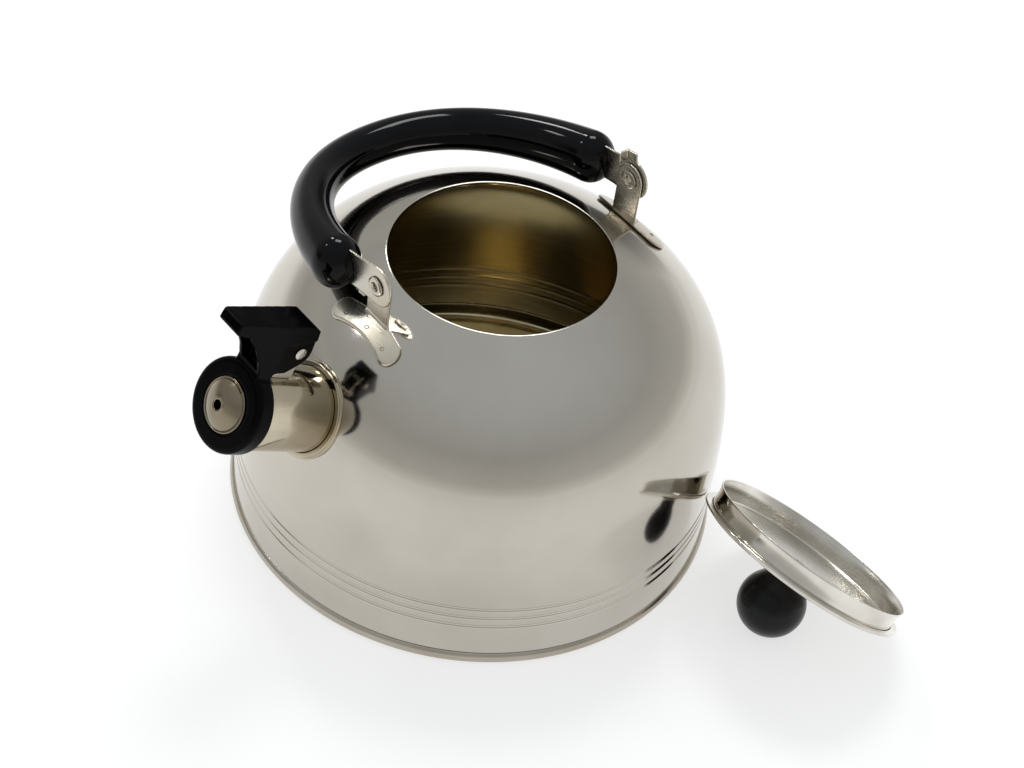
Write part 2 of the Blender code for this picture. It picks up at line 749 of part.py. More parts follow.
def build_bracket(name, side, materials, outer_guide, seat_cutter):
    """A stamped foot that follows the crown, with an ear folded up for the handle's rivet."""
    axis_height = swing_height()
    low = crown_height_at(EAR_RADIUS + FOOT_REACH + 0.004) - 0.006

    def in_plan(u, v, depth):
        return side * u + BRACKET_OFFSET, v, depth

    def in_ear(u, v, depth):
        return side * depth + BRACKET_OFFSET, u, v

    foot = extruded(foot_outline(), in_plan, low, axis_height - EAR_TOP_RADIUS)
    bracket = make_object(name, foot, materials["bracket_steel"])
    add_boolean(bracket, outer_guide, "INTERSECT")
    half = EAR_WIDTH / 2
    ear = [(half, low), (half, axis_height - EAR_RISE * 0.45)]
    ear += arc((0.0, axis_height), EAR_TOP_RADIUS, 0.0, math.pi, 10)
    ear += [(-half, axis_height - EAR_RISE * 0.45), (-half, low)]
    ear_shape = extruded(ear, in_ear, EAR_RADIUS, EAR_RADIUS + EAR_SHEET)
    add_boolean(bracket, make_cutter(name + "_ear_guide", ear_shape), "UNION")
    add_boolean(bracket, seat_cutter, "DIFFERENCE")
    hole = RIVET_RADIUS + RUNNING_GAP
    start = EAR_RADIUS - 0.002
    drill = turned([(0.0, 0.0), (hole, 0.0), (hole, 0.006), (0.0, 0.006)], SMALL_SEGMENTS)
    bmesh.ops.transform(drill, matrix=side_matrix(side, axis_height, start), verts=drill.verts[:])
    add_boolean(bracket, make_cutter(name + "_rivet_cutter", drill), "DIFFERENCE")


def side_matrix(side, height, start):
    """Places a shape made along +Z so that it runs outwards along X from a start radius."""
    turn = Matrix.Rotation(side * math.pi / 2, 4, "Y")
    return Matrix.Translation((side * start + BRACKET_OFFSET, 0.0, height)) @ turn


def strap_face():
    """Distance from the kettle's axis to the inboard face of a strap."""
    return EAR_RADIUS + EAR_SHEET + GAP


def build_rivet(name, side, materials):
    inner = EAR_RADIUS - GAP
    outer = strap_face() + STRAP_SHEET + GAP
    rim = RIVET_HEAD_HEIGHT * 0.45
    profile = [
        (RIVET_BORE_RADIUS, inner - RIVET_HEAD_HEIGHT * 0.7),
        (RIVET_BORE_RADIUS + 0.0008, inner - RIVET_HEAD_HEIGHT),
        (RIVET_HEAD_RADIUS - 0.0007, inner - RIVET_HEAD_HEIGHT),
        (RIVET_HEAD_RADIUS, inner - rim),
        (RIVET_HEAD_RADIUS, inner),
        (RIVET_RADIUS, inner),
        (RIVET_RADIUS, outer),
        (RIVET_HEAD_RADIUS, outer),
        (RIVET_HEAD_RADIUS, outer + rim),
        (RIVET_HEAD_RADIUS - 0.0007, outer + RIVET_HEAD_HEIGHT),
        (RIVET_BORE_RADIUS + 0.0008, outer + RIVET_HEAD_HEIGHT),
        (RIVET_BORE_RADIUS, outer + RIVET_HEAD_HEIGHT * 0.7),
    ]
    shape = turned(profile, SMALL_SEGMENTS)
    bmesh.ops.transform(shape, matrix=side_matrix(side, swing_height(), 0.0), verts=shape.verts[:])
    make_object(name, shape, materials["bracket_steel"])


def build_strap(name, side, materials, handle):
    """Flat strap from the rivet into the grip, with a stop tab bent inboard from one edge.

    The tab at the spout side meets its ear when the handle is folded down. The tab at the other
    side stands over the rivet and meets its ear when the handle has gone well past upright.
    """
    face = strap_face()

    def in_strap(u, v, depth):
        return side * depth + BRACKET_OFFSET, -side * u, v

    end = STRAP_END_RADIUS
    half = STRAP_HALF_WIDTH
    stop_edge = half + 0.0008
    stop_outer = stop_edge + STRAP_SHEET
    tail = [(half, GRIP_START * 0.8), (half, STRAP_LENGTH), (-half, STRAP_LENGTH), (-half, GRIP_START * 0.8)]
    if side > 0:
        notch = math.asin(UPRIGHT_STOP_BACK / end)
        reach = UPRIGHT_STOP_REACH
        outline = arc((0.0, 0.0), end, math.pi, 2.0 * math.pi - notch, 14)
        outline += [
            (reach - 0.0008, -UPRIGHT_STOP_BACK),
            (reach, -UPRIGHT_STOP_BACK + 0.0009),
            (reach, UPRIGHT_STOP_FRONT),
            (half + 0.0006, UPRIGHT_STOP_FRONT),
        ]
        stop_outline = [
            (half + UPRIGHT_STOP_ROOM, UPRIGHT_STOP_FRONT - STRAP_SHEET),
            (reach - 0.0001, UPRIGHT_STOP_FRONT - STRAP_SHEET),
            (reach - 0.0001, UPRIGHT_STOP_FRONT - 0.0001),
            (half + UPRIGHT_STOP_ROOM, UPRIGHT_STOP_FRONT - 0.0001),
        ]
        stop_length = UPRIGHT_STOP_LENGTH
    else:
        outline = arc((0.0, 0.0), end, math.pi, 2.0 * math.pi, 14)
        past_level = HANDLE_FOLD - math.pi / 2
        stop_low = (EAR_WIDTH / 2 + GAP + stop_outer * math.sin(past_level)) / math.cos(past_level)
        stop_outline = [
            (stop_edge - 0.0012, stop_low),
            (stop_outer, stop_low),
            (stop_outer, stop_low + STOP_WIDTH),
            (stop_edge - 0.0012, stop_low + STOP_WIDTH),
        ]
        stop_length = STOP_LENGTH
    flat = extruded(outline + tail, in_strap, face, face + STRAP_SHEET)
    strap = make_object(name, flat, materials["bracket_steel"], handle)
    stop = extruded(stop_outline, in_strap, face - stop_length, face + STRAP_SHEET * 0.8)
    add_boolean(strap, make_cutter(name + "_stop_guide", stop, handle), "UNION")
    hole = RIVET_RADIUS + RUNNING_GAP
    drill = turned([(0.0, 0.0), (hole, 0.0), (hole, 0.006), (0.0, 0.006)], SMALL_SEGMENTS)
    bmesh.ops.transform(drill, matrix=side_matrix(side, 0.0, face - 0.002), verts=drill.verts[:])
    add_boolean(strap, make_cutter(name + "_rivet_cutter", drill, handle), "DIFFERENCE")


def grip_route(steps):
    """Arch of the grip from one strap to the other: places, directions and distances run."""
    start = math.asin((GRIP_START / GRIP_RISE) ** (GRIP_FULLNESS / 2.0))
    points = []
    for step in range(steps + 1):
        turn = start + (math.pi - 2.0 * start) * step / steps
        across = abs(math.cos(turn)) ** (2.0 / GRIP_FULLNESS)
        rise = math.sin(turn) ** (2.0 / GRIP_FULLNESS)
        points.append(Vector((-math.copysign(across, math.cos(turn)) * GRIP_HALF_SPAN, 0.0, rise * GRIP_RISE)))
    return points


def build_grip(materials, handle):
    steps = 32
    sides = 18
    route = grip_route(steps)
    run = [0.0]
    for first, second in zip(route, route[1:]):
        run.append(run[-1] + (second - first).length)
    total = run[-1]
    stations = []
    for index, point in enumerate(route):
        before = route[max(index - 1, 0)]
        after = route[min(index + 1, steps)]
        direction = (after - before).normalized()
        stations.append((point, direction, run[index]))
    for share in (0.75, 0.5, 0.25, 0.1):
        stations.insert(1, blend_station(stations[0], stations[1], share, route, run))
        stations.insert(-1, blend_station(stations[-1], stations[-2], share, route, run))
    stations.sort(key=lambda station: station[2])
    rings = []
    for point, direction, distance in stations:
        middle = math.sin(math.pi * distance / total) ** 0.8
        thick = GRIP_END_THICKNESS + (GRIP_MIDDLE_THICKNESS - GRIP_END_THICKNESS) * middle
        wide = GRIP_END_WIDTH + (GRIP_MIDDLE_WIDTH - GRIP_END_WIDTH) * middle
        edge = min(distance, total - distance)
        closing = max(1.0 - edge / GRIP_ROUNDING, 0.0)
        size = 0.62 + 0.38 * math.sqrt(max(1.0 - closing * closing, 0.0))
        normal = Vector((direction.z, 0.0, -direction.x))
        ring = []
        for side in range(sides):
            angle = 2.0 * math.pi * side / sides
            offset = normal * (math.cos(angle) * thick / 2 * size)
            offset += Vector((0.0, math.sin(angle) * wide / 2 * size, 0.0))
            ring.append(point + offset)
        rings.append(ring)
    grip = make_object("handle_grip", lofted(rings), materials["bakelite"], handle)
    for side, label in ((-1, "front"), (1, "rear")):
        near = side * (strap_face() - GAP) + BRACKET_OFFSET
        far = side * (strap_face() + STRAP_SHEET + GAP) + BRACKET_OFFSET
        slot_low = (min(near, far), -STRAP_HALF_WIDTH - GAP, 0.0)
        slot_high = (max(near, far), STRAP_HALF_WIDTH + GAP, STRAP_LENGTH + GAP)
        cutter = make_cutter("grip_slot_cutter_" + label, box(slot_low, slot_high), handle)
        add_boolean(grip, cutter, "DIFFERENCE")


def blend_station(end, nearer, share, route, run):
    """Extra section close to an end of the grip, where it rounds off."""
    distance = end[2] + (nearer[2] - end[2]) * share
    point = end[0].lerp(nearer[0], share)
    direction = end[1].lerp(nearer[1], share).normalized()
    return point, direction, distance


def lid_skirt_radius():
    return MOUTH_RADIUS - LID_MOUTH_CLEARANCE


def lid_rim_radius():
    return MOUTH_RADIUS + LID_RIM_OVERHANG


def lid_lean():
    """Angle at which the upturned lid rests on its knob and the edge of its rim."""
    across = lid_rim_radius() - rim_bead()
    down = KNOB_CENTRE_HEIGHT - rim_bead()
    return math.atan2(down, across) + math.asin((KNOB_RADIUS - rim_bead()) / math.hypot(across, down))


def rim_bead():
    return LID_SHEET


def lid_reach(lean, height):
    """Distance from the kettle's axis at which the leaning rim just clears the body."""
    heading = Vector((math.cos(LID_BEARING), math.sin(LID_BEARING), 0.0))
    axis_turn = Matrix.Rotation(LID_HEADING, 3, "Z") @ Matrix.Rotation(math.pi + lean, 3, "Y")
    least = 0.0
    steps = 90
    rim = lid_rim_radius()
    bead = rim_bead()
    circles = ((rim, bead), (rim - bead, 0.0), (rim - bead, 2 * bead), (lid_skirt_radius(), -LID_SKIRT))
    for radius, level in circles:
        for step in range(steps):
            angle = 2.0 * math.pi * step / steps
            local = Vector((radius * math.cos(angle), radius * math.sin(angle), level))
            point = axis_turn @ local
            world_height = height + point.z
            clear = body_radius_at(max(world_height, wall_bottom())) + GAP
            if world_height < RIM_HEIGHT + 2 * RIM_CLEARANCE:
                clear += RIM_OVERHANG
            along = heading.x * point.x + heading.y * point.y
            aside = heading.x * point.y - heading.y * point.x
            if abs(aside) < clear:
                least = max(least, math.sqrt(clear * clear - aside * aside) - along)
    return least


def lid_frame():
    """Empty at the centre of the lid's seat: local +Z runs out through the knob."""
    lean = lid_lean()
    height = KNOB_RADIUS + KNOB_CENTRE_HEIGHT * math.cos(lean) + LID_FLOOR_GAP
    reach = lid_reach(lean, height)
    location = (reach * math.cos(LID_BEARING), reach * math.sin(LID_BEARING), height)
    return make_empty("lid_frame", location, (0.0, math.pi + lean, LID_HEADING))


def build_lid(materials, lid):
    skirt = lid_skirt_radius()
    rim = lid_rim_radius()
    sheet = LID_SHEET
    bead = rim_bead()
    floor = LID_FLOOR_RISE
    waist = skirt - LID_SKIRT_WAIST
    screw_hole = SCREW_RADIUS + GAP
    pan = [
        (screw_hole, floor),
        (waist - sheet, floor),
        (waist - sheet, -LID_SKIRT * 0.45),
        (skirt - sheet - 0.0002, -LID_SKIRT + 0.0010),
        (skirt - sheet, -LID_SKIRT),
        (skirt, -LID_SKIRT),
        (skirt, -LID_SKIRT + 0.0009),
        (waist, -LID_SKIRT * 0.55),
        (waist, floor + sheet),
        (screw_hole, floor + sheet),
    ]
    make_object("lid_pan", turned(pan, ROUND_SEGMENTS + 16), materials["mirror_steel"], lid)
    inner_step = floor + sheet + GAP
    cover = [
        (screw_hole, LID_RISE - sheet),
        (waist * 0.55, LID_RISE - sheet - 0.0005),
        (waist - 0.0020, inner_step + 0.0003),
        (waist + GAP, inner_step),
        (waist + GAP, 0.0),
        (rim - bead, 0.0),
        (rim - 0.0002, bead * 0.4),
        (rim, bead),
        (rim - 0.0002, bead * 1.6),
        (rim - bead, bead * 2),
        (waist + GAP + 0.0009, bead * 2 + 0.0001),
        (waist + GAP + 0.0002, inner_step + sheet - 0.0003),
        (waist - 0.0018, inner_step + sheet + 0.0003),
        (waist * 0.55, LID_RISE - 0.0005),
        (KNOB_PLATE_RADIUS, LID_RISE),
        (screw_hole, LID_RISE),
    ]
    make_object("lid_cover", turned(cover, ROUND_SEGMENTS + 16), materials["mirror_steel"], lid)
    plate_low = LID_RISE + GAP
    plate_high = plate_low + KNOB_PLATE_THICKNESS
    plate = [
        (screw_hole, plate_low),
        (KNOB_PLATE_RADIUS, plate_low),
        (KNOB_PLATE_RADIUS - 0.0006, plate_high),
        (screw_hole, plate_high),
    ]
    make_object("knob_plate", turned(plate, ROUND_SEGMENTS), materials["bracket_steel"], lid)
    foot = plate_high + GAP
    screw_end = foot + SCREW_DEPTH
    meet = math.asin(min(KNOB_FOOT_RADIUS / KNOB_RADIUS, 0.95))
    knob = [(screw_hole, foot), (KNOB_FOOT_RADIUS, foot)]
    knob += arc((0.0, KNOB_CENTRE_HEIGHT), KNOB_RADIUS, meet - math.pi / 2, math.pi / 2, 12)
    knob[-1] = (0.0, KNOB_CENTRE_HEIGHT + KNOB_RADIUS)
    knob += [(0.0, screw_end + GAP), (screw_hole, screw_end + GAP)]
    make_object("lid_knob", turned(knob, ROUND_SEGMENTS - 8), materials["bakelite"], lid)
    head_top = floor - GAP
    screw = [
        (0.0, head_top - SCREW_HEAD_HEIGHT),
        (SCREW_HEAD_RADIUS * 0.6, head_top - SCREW_HEAD_HEIGHT),
        (SCREW_HEAD_RADIUS, head_top - SCREW_HEAD_HEIGHT * 0.35),
        (SCREW_HEAD_RADIUS, head_top),
        (SCREW_RADIUS, head_top),
        (SCREW_RADIUS, screw_end - 0.001),
        (SCREW_RADIUS * 0.5, screw_end),
        (0.0, screw_end),
    ]
    make_object("knob_screw", turned(screw, SMALL_SEGMENTS), materials["bracket_steel"], lid)


def main():
    clear_scene()
    materials = make_materials()
    spout = spout_frame()
    build_body_shell(materials, spout)
    build_base(materials)
    build_spout(materials, spout)
    build_lug(materials, spout)
    pin_height, pin_along = pin_place()
    hinge = make_empty("cap_hinge", (pin_height, 0.0, pin_along), parent=spout)
    build_hinge_pin(materials, hinge)
    build_spring(materials, hinge)
    build_cap_lever(materials, spout, hinge)
    build_whistle(materials, hinge)
    outer_guide = make_cutter("foot_outer_guide", crown_solid(GAP + FOOT_SHEET))
    seat_cutter = make_cutter("foot_seat_cutter", crown_solid(GAP))
    handle = make_empty("handle_swing", (0.0, 0.0, swing_height()), (-HANDLE_FOLD, 0.0, 0.0))
    for side, label in ((-1, "front"), (1, "rear")):
        build_bracket("bracket_" + label, side, materials, outer_guide, seat_cutter)
        build_rivet("rivet_" + label, side, materials)
        build_strap("strap_" + label, side, materials, handle)
    build_grip(materials, handle)
    build_lid(materials, lid_frame())
    bpy.context.view_layer.update()


main()
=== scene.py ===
"""Detailed surfaces, materials and studio for a whistling kettle with its lid leaning beside it."""

import json
import math
from types import SimpleNamespace

import bmesh
import bpy
import numpy as np
from mathutils import Matrix, Vector

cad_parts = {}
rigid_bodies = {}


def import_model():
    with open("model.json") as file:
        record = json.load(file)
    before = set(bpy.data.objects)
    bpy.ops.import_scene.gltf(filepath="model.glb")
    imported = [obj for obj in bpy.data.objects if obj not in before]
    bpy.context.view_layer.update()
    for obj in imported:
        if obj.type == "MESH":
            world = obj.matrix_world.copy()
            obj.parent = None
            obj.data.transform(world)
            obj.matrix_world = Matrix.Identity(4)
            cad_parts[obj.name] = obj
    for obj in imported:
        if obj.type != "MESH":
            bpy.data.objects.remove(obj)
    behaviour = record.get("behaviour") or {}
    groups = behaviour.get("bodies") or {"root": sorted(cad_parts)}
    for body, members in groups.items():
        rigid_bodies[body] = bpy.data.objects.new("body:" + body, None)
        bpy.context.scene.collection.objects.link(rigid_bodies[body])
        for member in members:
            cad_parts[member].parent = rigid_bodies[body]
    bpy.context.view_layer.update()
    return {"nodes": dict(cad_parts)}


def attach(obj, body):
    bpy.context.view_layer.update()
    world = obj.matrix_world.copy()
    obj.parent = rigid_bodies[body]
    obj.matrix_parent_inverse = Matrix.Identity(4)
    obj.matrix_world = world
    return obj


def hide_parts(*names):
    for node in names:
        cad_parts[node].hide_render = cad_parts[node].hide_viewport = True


bl_info = {
    "name": "Whistling Kettle",
    "version": (1, 0, 0),
    "blender": (4, 5, 0),
    "location": "View3D > Sidebar > Kettle",
    "description": "Builds a domed stovetop kettle with a folding handle, a whistle cap and a lid",
    "category": "Add Mesh",
}

for leftover in list(bpy.data.objects):
    bpy.data.objects.remove(leftover, do_unlink=True)
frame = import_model()

# Lengths are in metres and angles in radians.
FULL_TURN = 2.0 * math.pi
# Space between fixed pieces, and round a pin in its hole.
GAP = 0.0003
RUNNING_GAP = 0.00012
# Thickness of the body's sheet.
SHEET = 0.0008
# Height of the rolled seam over the ground, height of the pan's floor, radius of the spreader.
RIM_CLEARANCE = 0.0006
BASE_STACK = 0.0040
CORE_RADIUS = 0.082
# Where the lid's axis meets its rim, how far the lid leans and the way it faces.
LID_SEAT = Vector((0.07183, -0.13976, 0.03289))
LID_LEAN = math.radians(39.3052)
LID_HEADING = math.radians(3.3)
# Thickness of the collar's front, behind which the whistle's edge sits.
COLLAR_FRONT = 0.0032
# How much each cheek of the lever is cut back under the pin's head.
CHEEK_CUT = 0.0005
# The crown's fall is measured over this span.
FALL_SPAN = 0.0004
# Half the length of a cutter for a pin's hole.
BORE_REACH = 0.1
# Edges sharper than this stay creased.
SHARP_ANGLE = math.radians(32.0)
# Points nearer than this are merged, on a turned piece and on any other.
TURNED_MERGE = 2e-6
PLAIN_MERGE = 1e-7
# Which way each end of the handle lies along X, and what that end is called.
ENDS = ((-1, "front"), (1, "rear"))
# Weld marks of a bracket: along its foot, and out from its ear.
WELD_SPOTS = ((-0.0125, 0.0062), (0.0, 0.0050), (0.0125, 0.0062))

# Straight sides that stand for a full turn.
BODY_SIDES = 192
LID_SIDES = 160
BASE_CAP_SIDES = 144
TUBE_SIDES = 112
DISC_SIDES = 96
PLATE_SIDES = 80
BORE_SIDES = 64
SHANK_SIDES = 48
WELD_SIDES = 20
WIRE_SIDES = 14


def linear(value):
    """Turn an sRGB hex colour into linear red, green, blue and alpha."""
    channels = [int(value[place : place + 2], 16) / 255.0 for place in (1, 3, 5)]
    return tuple(c / 12.92 if c <= 0.04045 else ((c + 0.055) / 1.055) ** 2.4 for c in channels) + (1.0,)


def length(name, text, default):
    return bpy.props.FloatProperty(
        name=name, description=text, default=default, min=0.0, precision=5, unit="LENGTH"
    )


def angle(name, text, degrees):
    return bpy.props.FloatProperty(
        name=name, description=text, default=math.radians(degrees), subtype="ANGLE"
    )


def number(name, text, default):
    return bpy.props.FloatProperty(name=name, description=text, default=default, min=0.0, precision=4)


def colour(name, text, value):
    return bpy.props.FloatVectorProperty(
        name=name, description=text, default=linear(value), size=4, subtype="COLOR", min=0.0, max=1.0
    )


class KettleBodySizes(bpy.types.PropertyGroup):
    waist_radius: length("Waist radius", "Radius where the crown starts", 0.1081)
    wall_flare: length("Wall flare", "How much the wall widens towards its lower edge", 0.0004)
    shoulder_height: length("Shoulder height", "Height where the crown starts", 0.0276)
    crown_height: length("Crown height", "Height that the crown would reach on its axis", 0.1447)
    fullness: number("Crown fullness", "Roundness of the crown seen across", 1.8326)
    squareness: number("Crown squareness", "Roundness of the crown seen upwards", 3.5655)
    mouth_radius: length("Mouth radius", "Radius of the filling mouth", 0.0485)
    lip_width: length("Lip width", "Width of the edge turned under the mouth", 0.0022)
    lip_thickness: length("Lip thickness", "Height of the turned edge of the mouth", 0.0018)
    groove_base: length("Groove height", "Height of the lowest pressed groove", 0.0237)
    groove_pitch: length("Groove pitch", "Distance between the pressed grooves", 0.0053)
    groove_depth: length("Groove depth", "Depth of a pressed groove", 0.0006)
    groove_width: length("Groove width", "Width of a pressed groove", 0.0026)
    rim_height: length("Rim height", "Height of the rolled seam at the base", 0.0062)
    rim_overhang: length("Rim overhang", "How far the rolled seam stands out", 0.0015)
    pan_lip: length("Pan lip", "Height of the base pan inside the wall", 0.0045)


class KettleSpoutSizes(bpy.types.PropertyGroup):
    rise_share: number("Spout place", "Share of the crown's height where the spout leaves it", 0.594)
    elevation: angle("Spout angle", "Angle of the spout above level", 29.8)
    length: length("Spout length", "Length of the spout from the crown", 0.0393)
    tube_radius: length("Tube radius", "Outer radius of the spout", 0.018)
    end_radius: length("End radius", "Outer radius at the spout's end", 0.0169)
    taper: length("Taper", "Length over which the end narrows", 0.0034)
    hole_radius: length("Hole radius", "Radius of the hole in the crown", 0.016)
    ring_radius: length("Ring radius", "Outer radius of the ring round the spout's root", 0.0209)
    ring_height: length("Ring height", "Height of that ring", 0.0023)
    collar_radius: length("Collar radius", "Outer radius of the whistle cap's collar", 0.01965)
    collar_length: length("Collar length", "Length of the collar", 0.0081)
    collar_overlap: length("Collar overlap", "How far the collar goes over the spout", 0.0029)
    whistle_radius: length("Whistle radius", "Radius of the whistle's domed disc", 0.0115)
    whistle_rise: length("Whistle rise", "Height of that dome", 0.004)
    whistle_hole: length("Whistle hole", "Radius of the whistle's hole", 0.0021)
    pin_height: length("Pin height", "Height of the hinge pin above the tube", 0.0136)
    pin_back: length("Pin setback", "Distance of the pin behind the spout's end", 0.0109)
    pin_radius: length("Pin radius", "Radius of the hinge pin", 0.0014)
    pin_head: length("Pin head", "Radius of the pin's heads", 0.0026)
    lever_reach: length("Lever reach", "How far the lever reaches past the spout", 0.0262)
    lever_rear: length("Lever rear", "How far the lever reaches behind its pin", 0.0061)
    lever_height: length("Lever height", "Height of the lever's plate above its pin", 0.0105)
    lever_rear_half: length("Rear half width", "Half width of the lever at its hinge", 0.0083)
    lever_front_half: length("Front half width", "Half width of the lever at its front", 0.0063)
    lever_slope: length("Lever slope", "How much the plate falls towards its front", 0.0018)
    lever_plate: length("Lever plate", "Thickness of the lever's plate", 0.0055)
    spring_wire: length("Spring wire", "Diameter of the spring's wire", 0.0007)
    spring_radius: length("Spring radius", "Radius of the spring's coil", 0.0026)
    spring_pitch: length("Spring pitch", "Distance between the spring's turns", 0.0013)


class KettleHandleSizes(bpy.types.PropertyGroup):
    fold: angle("Fold", "Angle of the handle from upright", 101.0)
    half_span: length("Half span", "Half of the handle's width", 0.07)
    rise: length("Rise", "Height of the arch over its rivets", 0.095)
    start: length("Grip start", "Distance from the rivet to the grip", 0.016)
    fullness: number("Fullness", "Roundness of the arch", 2.125)
    middle_thickness: length("Middle thickness", "Thickness of the grip in its middle", 0.0172)
    middle_width: length("Middle width", "Width of the grip in its middle", 0.0185)
    end_thickness: length("End thickness", "Thickness of the grip at its ends", 0.0228)
    end_width: length("End width", "Width of the grip at its ends", 0.0255)
    rounding: length("End rounding", "Length over which the ends round off", 0.0115)
    offset: length("Bracket offset", "How far both brackets stand towards the back", 0.002)
    ear_radius: length("Ear radius", "Distance of the bracket's ear from the axis", 0.0656)
    ear_sheet: length("Ear sheet", "Thickness of the ear", 0.0012)
    ear_rise: length("Ear rise", "Height of the rivet over the crown", 0.0208)
    ear_width: length("Ear width", "Width of the ear", 0.0146)
    ear_top: length("Ear top", "Radius of the ear's top", 0.0074)
    foot_reach: length("Foot reach", "How far the foot's lobes reach outwards", 0.0101)
    foot_depth: length("Foot depth", "Depth of the foot in its middle", 0.0084)
    foot_half: length("Foot half length", "Half of the foot's length", 0.0205)
    foot_lobe: length("Foot lobe", "Radius of the foot's ends", 0.0047)
    foot_sheet: length("Foot sheet", "Thickness of the foot", 0.0013)
    rivet_radius: length("Rivet radius", "Radius of the rivet's shank", 0.0026)
    rivet_bore: length("Rivet bore", "Radius of the rivet's hollow", 0.0017)
    rivet_head: length("Rivet head", "Radius of the rivet's heads", 0.0044)
    rivet_rise: length("Rivet head height", "Height of the rivet's heads", 0.0008)
    strap_sheet: length("Strap sheet", "Thickness of a strap", 0.0012)
    strap_end: length("Strap end", "Radius of a strap's round end", 0.0092)
    strap_half: length("Strap half width", "Half width of a strap", 0.008)
    strap_length: length("Strap length", "Length of a strap from its rivet", 0.033)


class KettleLidSizes(bpy.types.PropertyGroup):
    mouth_clearance: length("Clearance", "Space between the skirt and the mouth", 0.0005)
    rim_overhang: length("Rim overhang", "How far the rim covers the mouth's edge", 0.002)
    sheet: length("Sheet", "Thickness of the lid's sheet", 0.0007)
    skirt: length("Skirt", "Depth of the skirt", 0.0086)
    waist: length("Skirt waist", "Depth of the skirt's hollow outline", 0.001)
    floor_rise: length("Floor rise", "Height of the lid's floor over its rim", 0.0012)
    rise: length("Rise", "Height of the lid's top over its rim", 0.0046)
    knob_radius: length("Knob radius", "Radius of the knob", 0.0153)
    knob_height: length("Knob height", "Height of the knob's centre", 0.0226)
    knob_foot: length("Knob foot", "Radius of the knob's foot", 0.0098)
    plate_radius: length("Plate radius", "Radius of the plate under the knob", 0.0115)
    plate_sheet: length("Plate sheet", "Thickness of that plate", 0.0008)
    screw_radius: length("Screw radius", "Radius of the knob's screw", 0.002)
    screw_head: length("Screw head", "Radius of the screw's head", 0.0034)
    screw_rise: length("Screw head height", "Height of the screw's head", 0.0012)
    screw_depth: length("Screw depth", "How deep the screw goes into the knob", 0.011)


class KettleColours(bpy.types.PropertyGroup):
    body: colour("Body", "Mirror polished steel of the body", "#c3beb4")
    body_cloud: colour("Body clouding", "Slightly duller patches of the same steel", "#bdb7ac")
    inside: colour("Inside", "Golden steel of the inside", "#d2c7a8")
    inside_dark: colour("Inside dark", "Darker bands of that tint", "#a1946f")
    # Lid: the same steel as the body, painted brighter to stand for the brighter reflections on the lid.
    lid: colour("Lid", "Polished steel of the lid", "#e9e6de")
    spout_tint: colour("Spout tint", "Straw tint that runs along the spout", "#a2967d")
    spout: colour("Spout", "Drawn steel, slightly warmer", "#cbc1ad")
    # Whistle: painted dark reflection, a steel colour darkened to stand for the dark things the dome
    # mirrors.
    whistle: colour("Whistle", "Darker, browner steel of the whistle", "#71685b")
    bracket: colour("Bracket", "Stamped steel of brackets and straps", "#c6c1b6")
    base: colour("Base", "Brushed steel of the base", "#aea596")
    aluminium: colour("Core", "Cast aluminium of the heat spreader", "#c4c5c6")
    spring: colour("Spring", "Spring wire", "#636261")
    # Spring wire; the weld marks use it too, so its darkness is also painted shade in their pits.
    grip: colour("Grip", "Glossy moulded grip", "#040406")
    knob: colour("Knob", "Satin moulded knob", "#060709")
    plastic: colour("Cap plastic", "Moulded lever and collar", "#030304")
    floor: colour("Floor", "Pale studio floor", "#f4f4f4")


class KettleSettings(bpy.types.PropertyGroup):
    body: bpy.props.PointerProperty(type=KettleBodySizes)
    spout: bpy.props.PointerProperty(type=KettleSpoutSizes)
    handle: bpy.props.PointerProperty(type=KettleHandleSizes)
    lid: bpy.props.PointerProperty(type=KettleLidSizes)
    colours: bpy.props.PointerProperty(type=KettleColours)


def settings():
    return bpy.context.scene.kettle


# Node trees


def add_node(tree, kind, inputs=(), stops=(), **options):
    """Add a node with its settings and links.

    inputs pairs a socket with its value, with the socket that feeds it, or with the node whose
    first output feeds it. stops pairs the positions of a colour ramp with its colours.
    """
    node = tree.nodes.new(kind)
    for option, value in options.items():
        setattr(node, option, value)
    for socket, value in inputs:
        source = value.outputs[0] if isinstance(value, bpy.types.Node) else value
        if isinstance(source, bpy.types.NodeSocket):
            tree.links.new(source, node.inputs[socket])
        else:
            node.inputs[socket].default_value = value
    if stops:
        marks = node.color_ramp.elements
        while len(marks) < len(stops):
            marks.new(1.0)
        for mark, (position, tone) in zip(marks, stops):
            mark.position = position
            mark.color = tone
    return node


def start_tree(name, label, kind):
    """A geometry tree that takes geometry, one more input and a material."""
    tree = bpy.data.node_groups.new(name, "GeometryNodeTree")
    sockets = (("Geometry", "NodeSocketGeometry"), (label, kind), ("Material", "NodeSocketMaterial"))
    for title, socket in sockets:
        tree.interface.new_socket(title, in_out="INPUT", socket_type=socket)
    tree.interface.new_socket("Geometry", in_out="OUTPUT", socket_type="NodeSocketGeometry")
    return tree, tree.nodes.new("NodeGroupInput").outputs


def end_tree(tree, geometry, material):
    """Make instances real, set the material and close the tree."""
    real = add_node(tree, "GeometryNodeRealizeInstances", [("Geometry", geometry)])
    surface = add_node(tree, "GeometryNodeSetMaterial", [("Geometry", real), ("Material", material)])
    add_node(tree, "NodeGroupOutput", [("Geometry", surface)])
    return tree


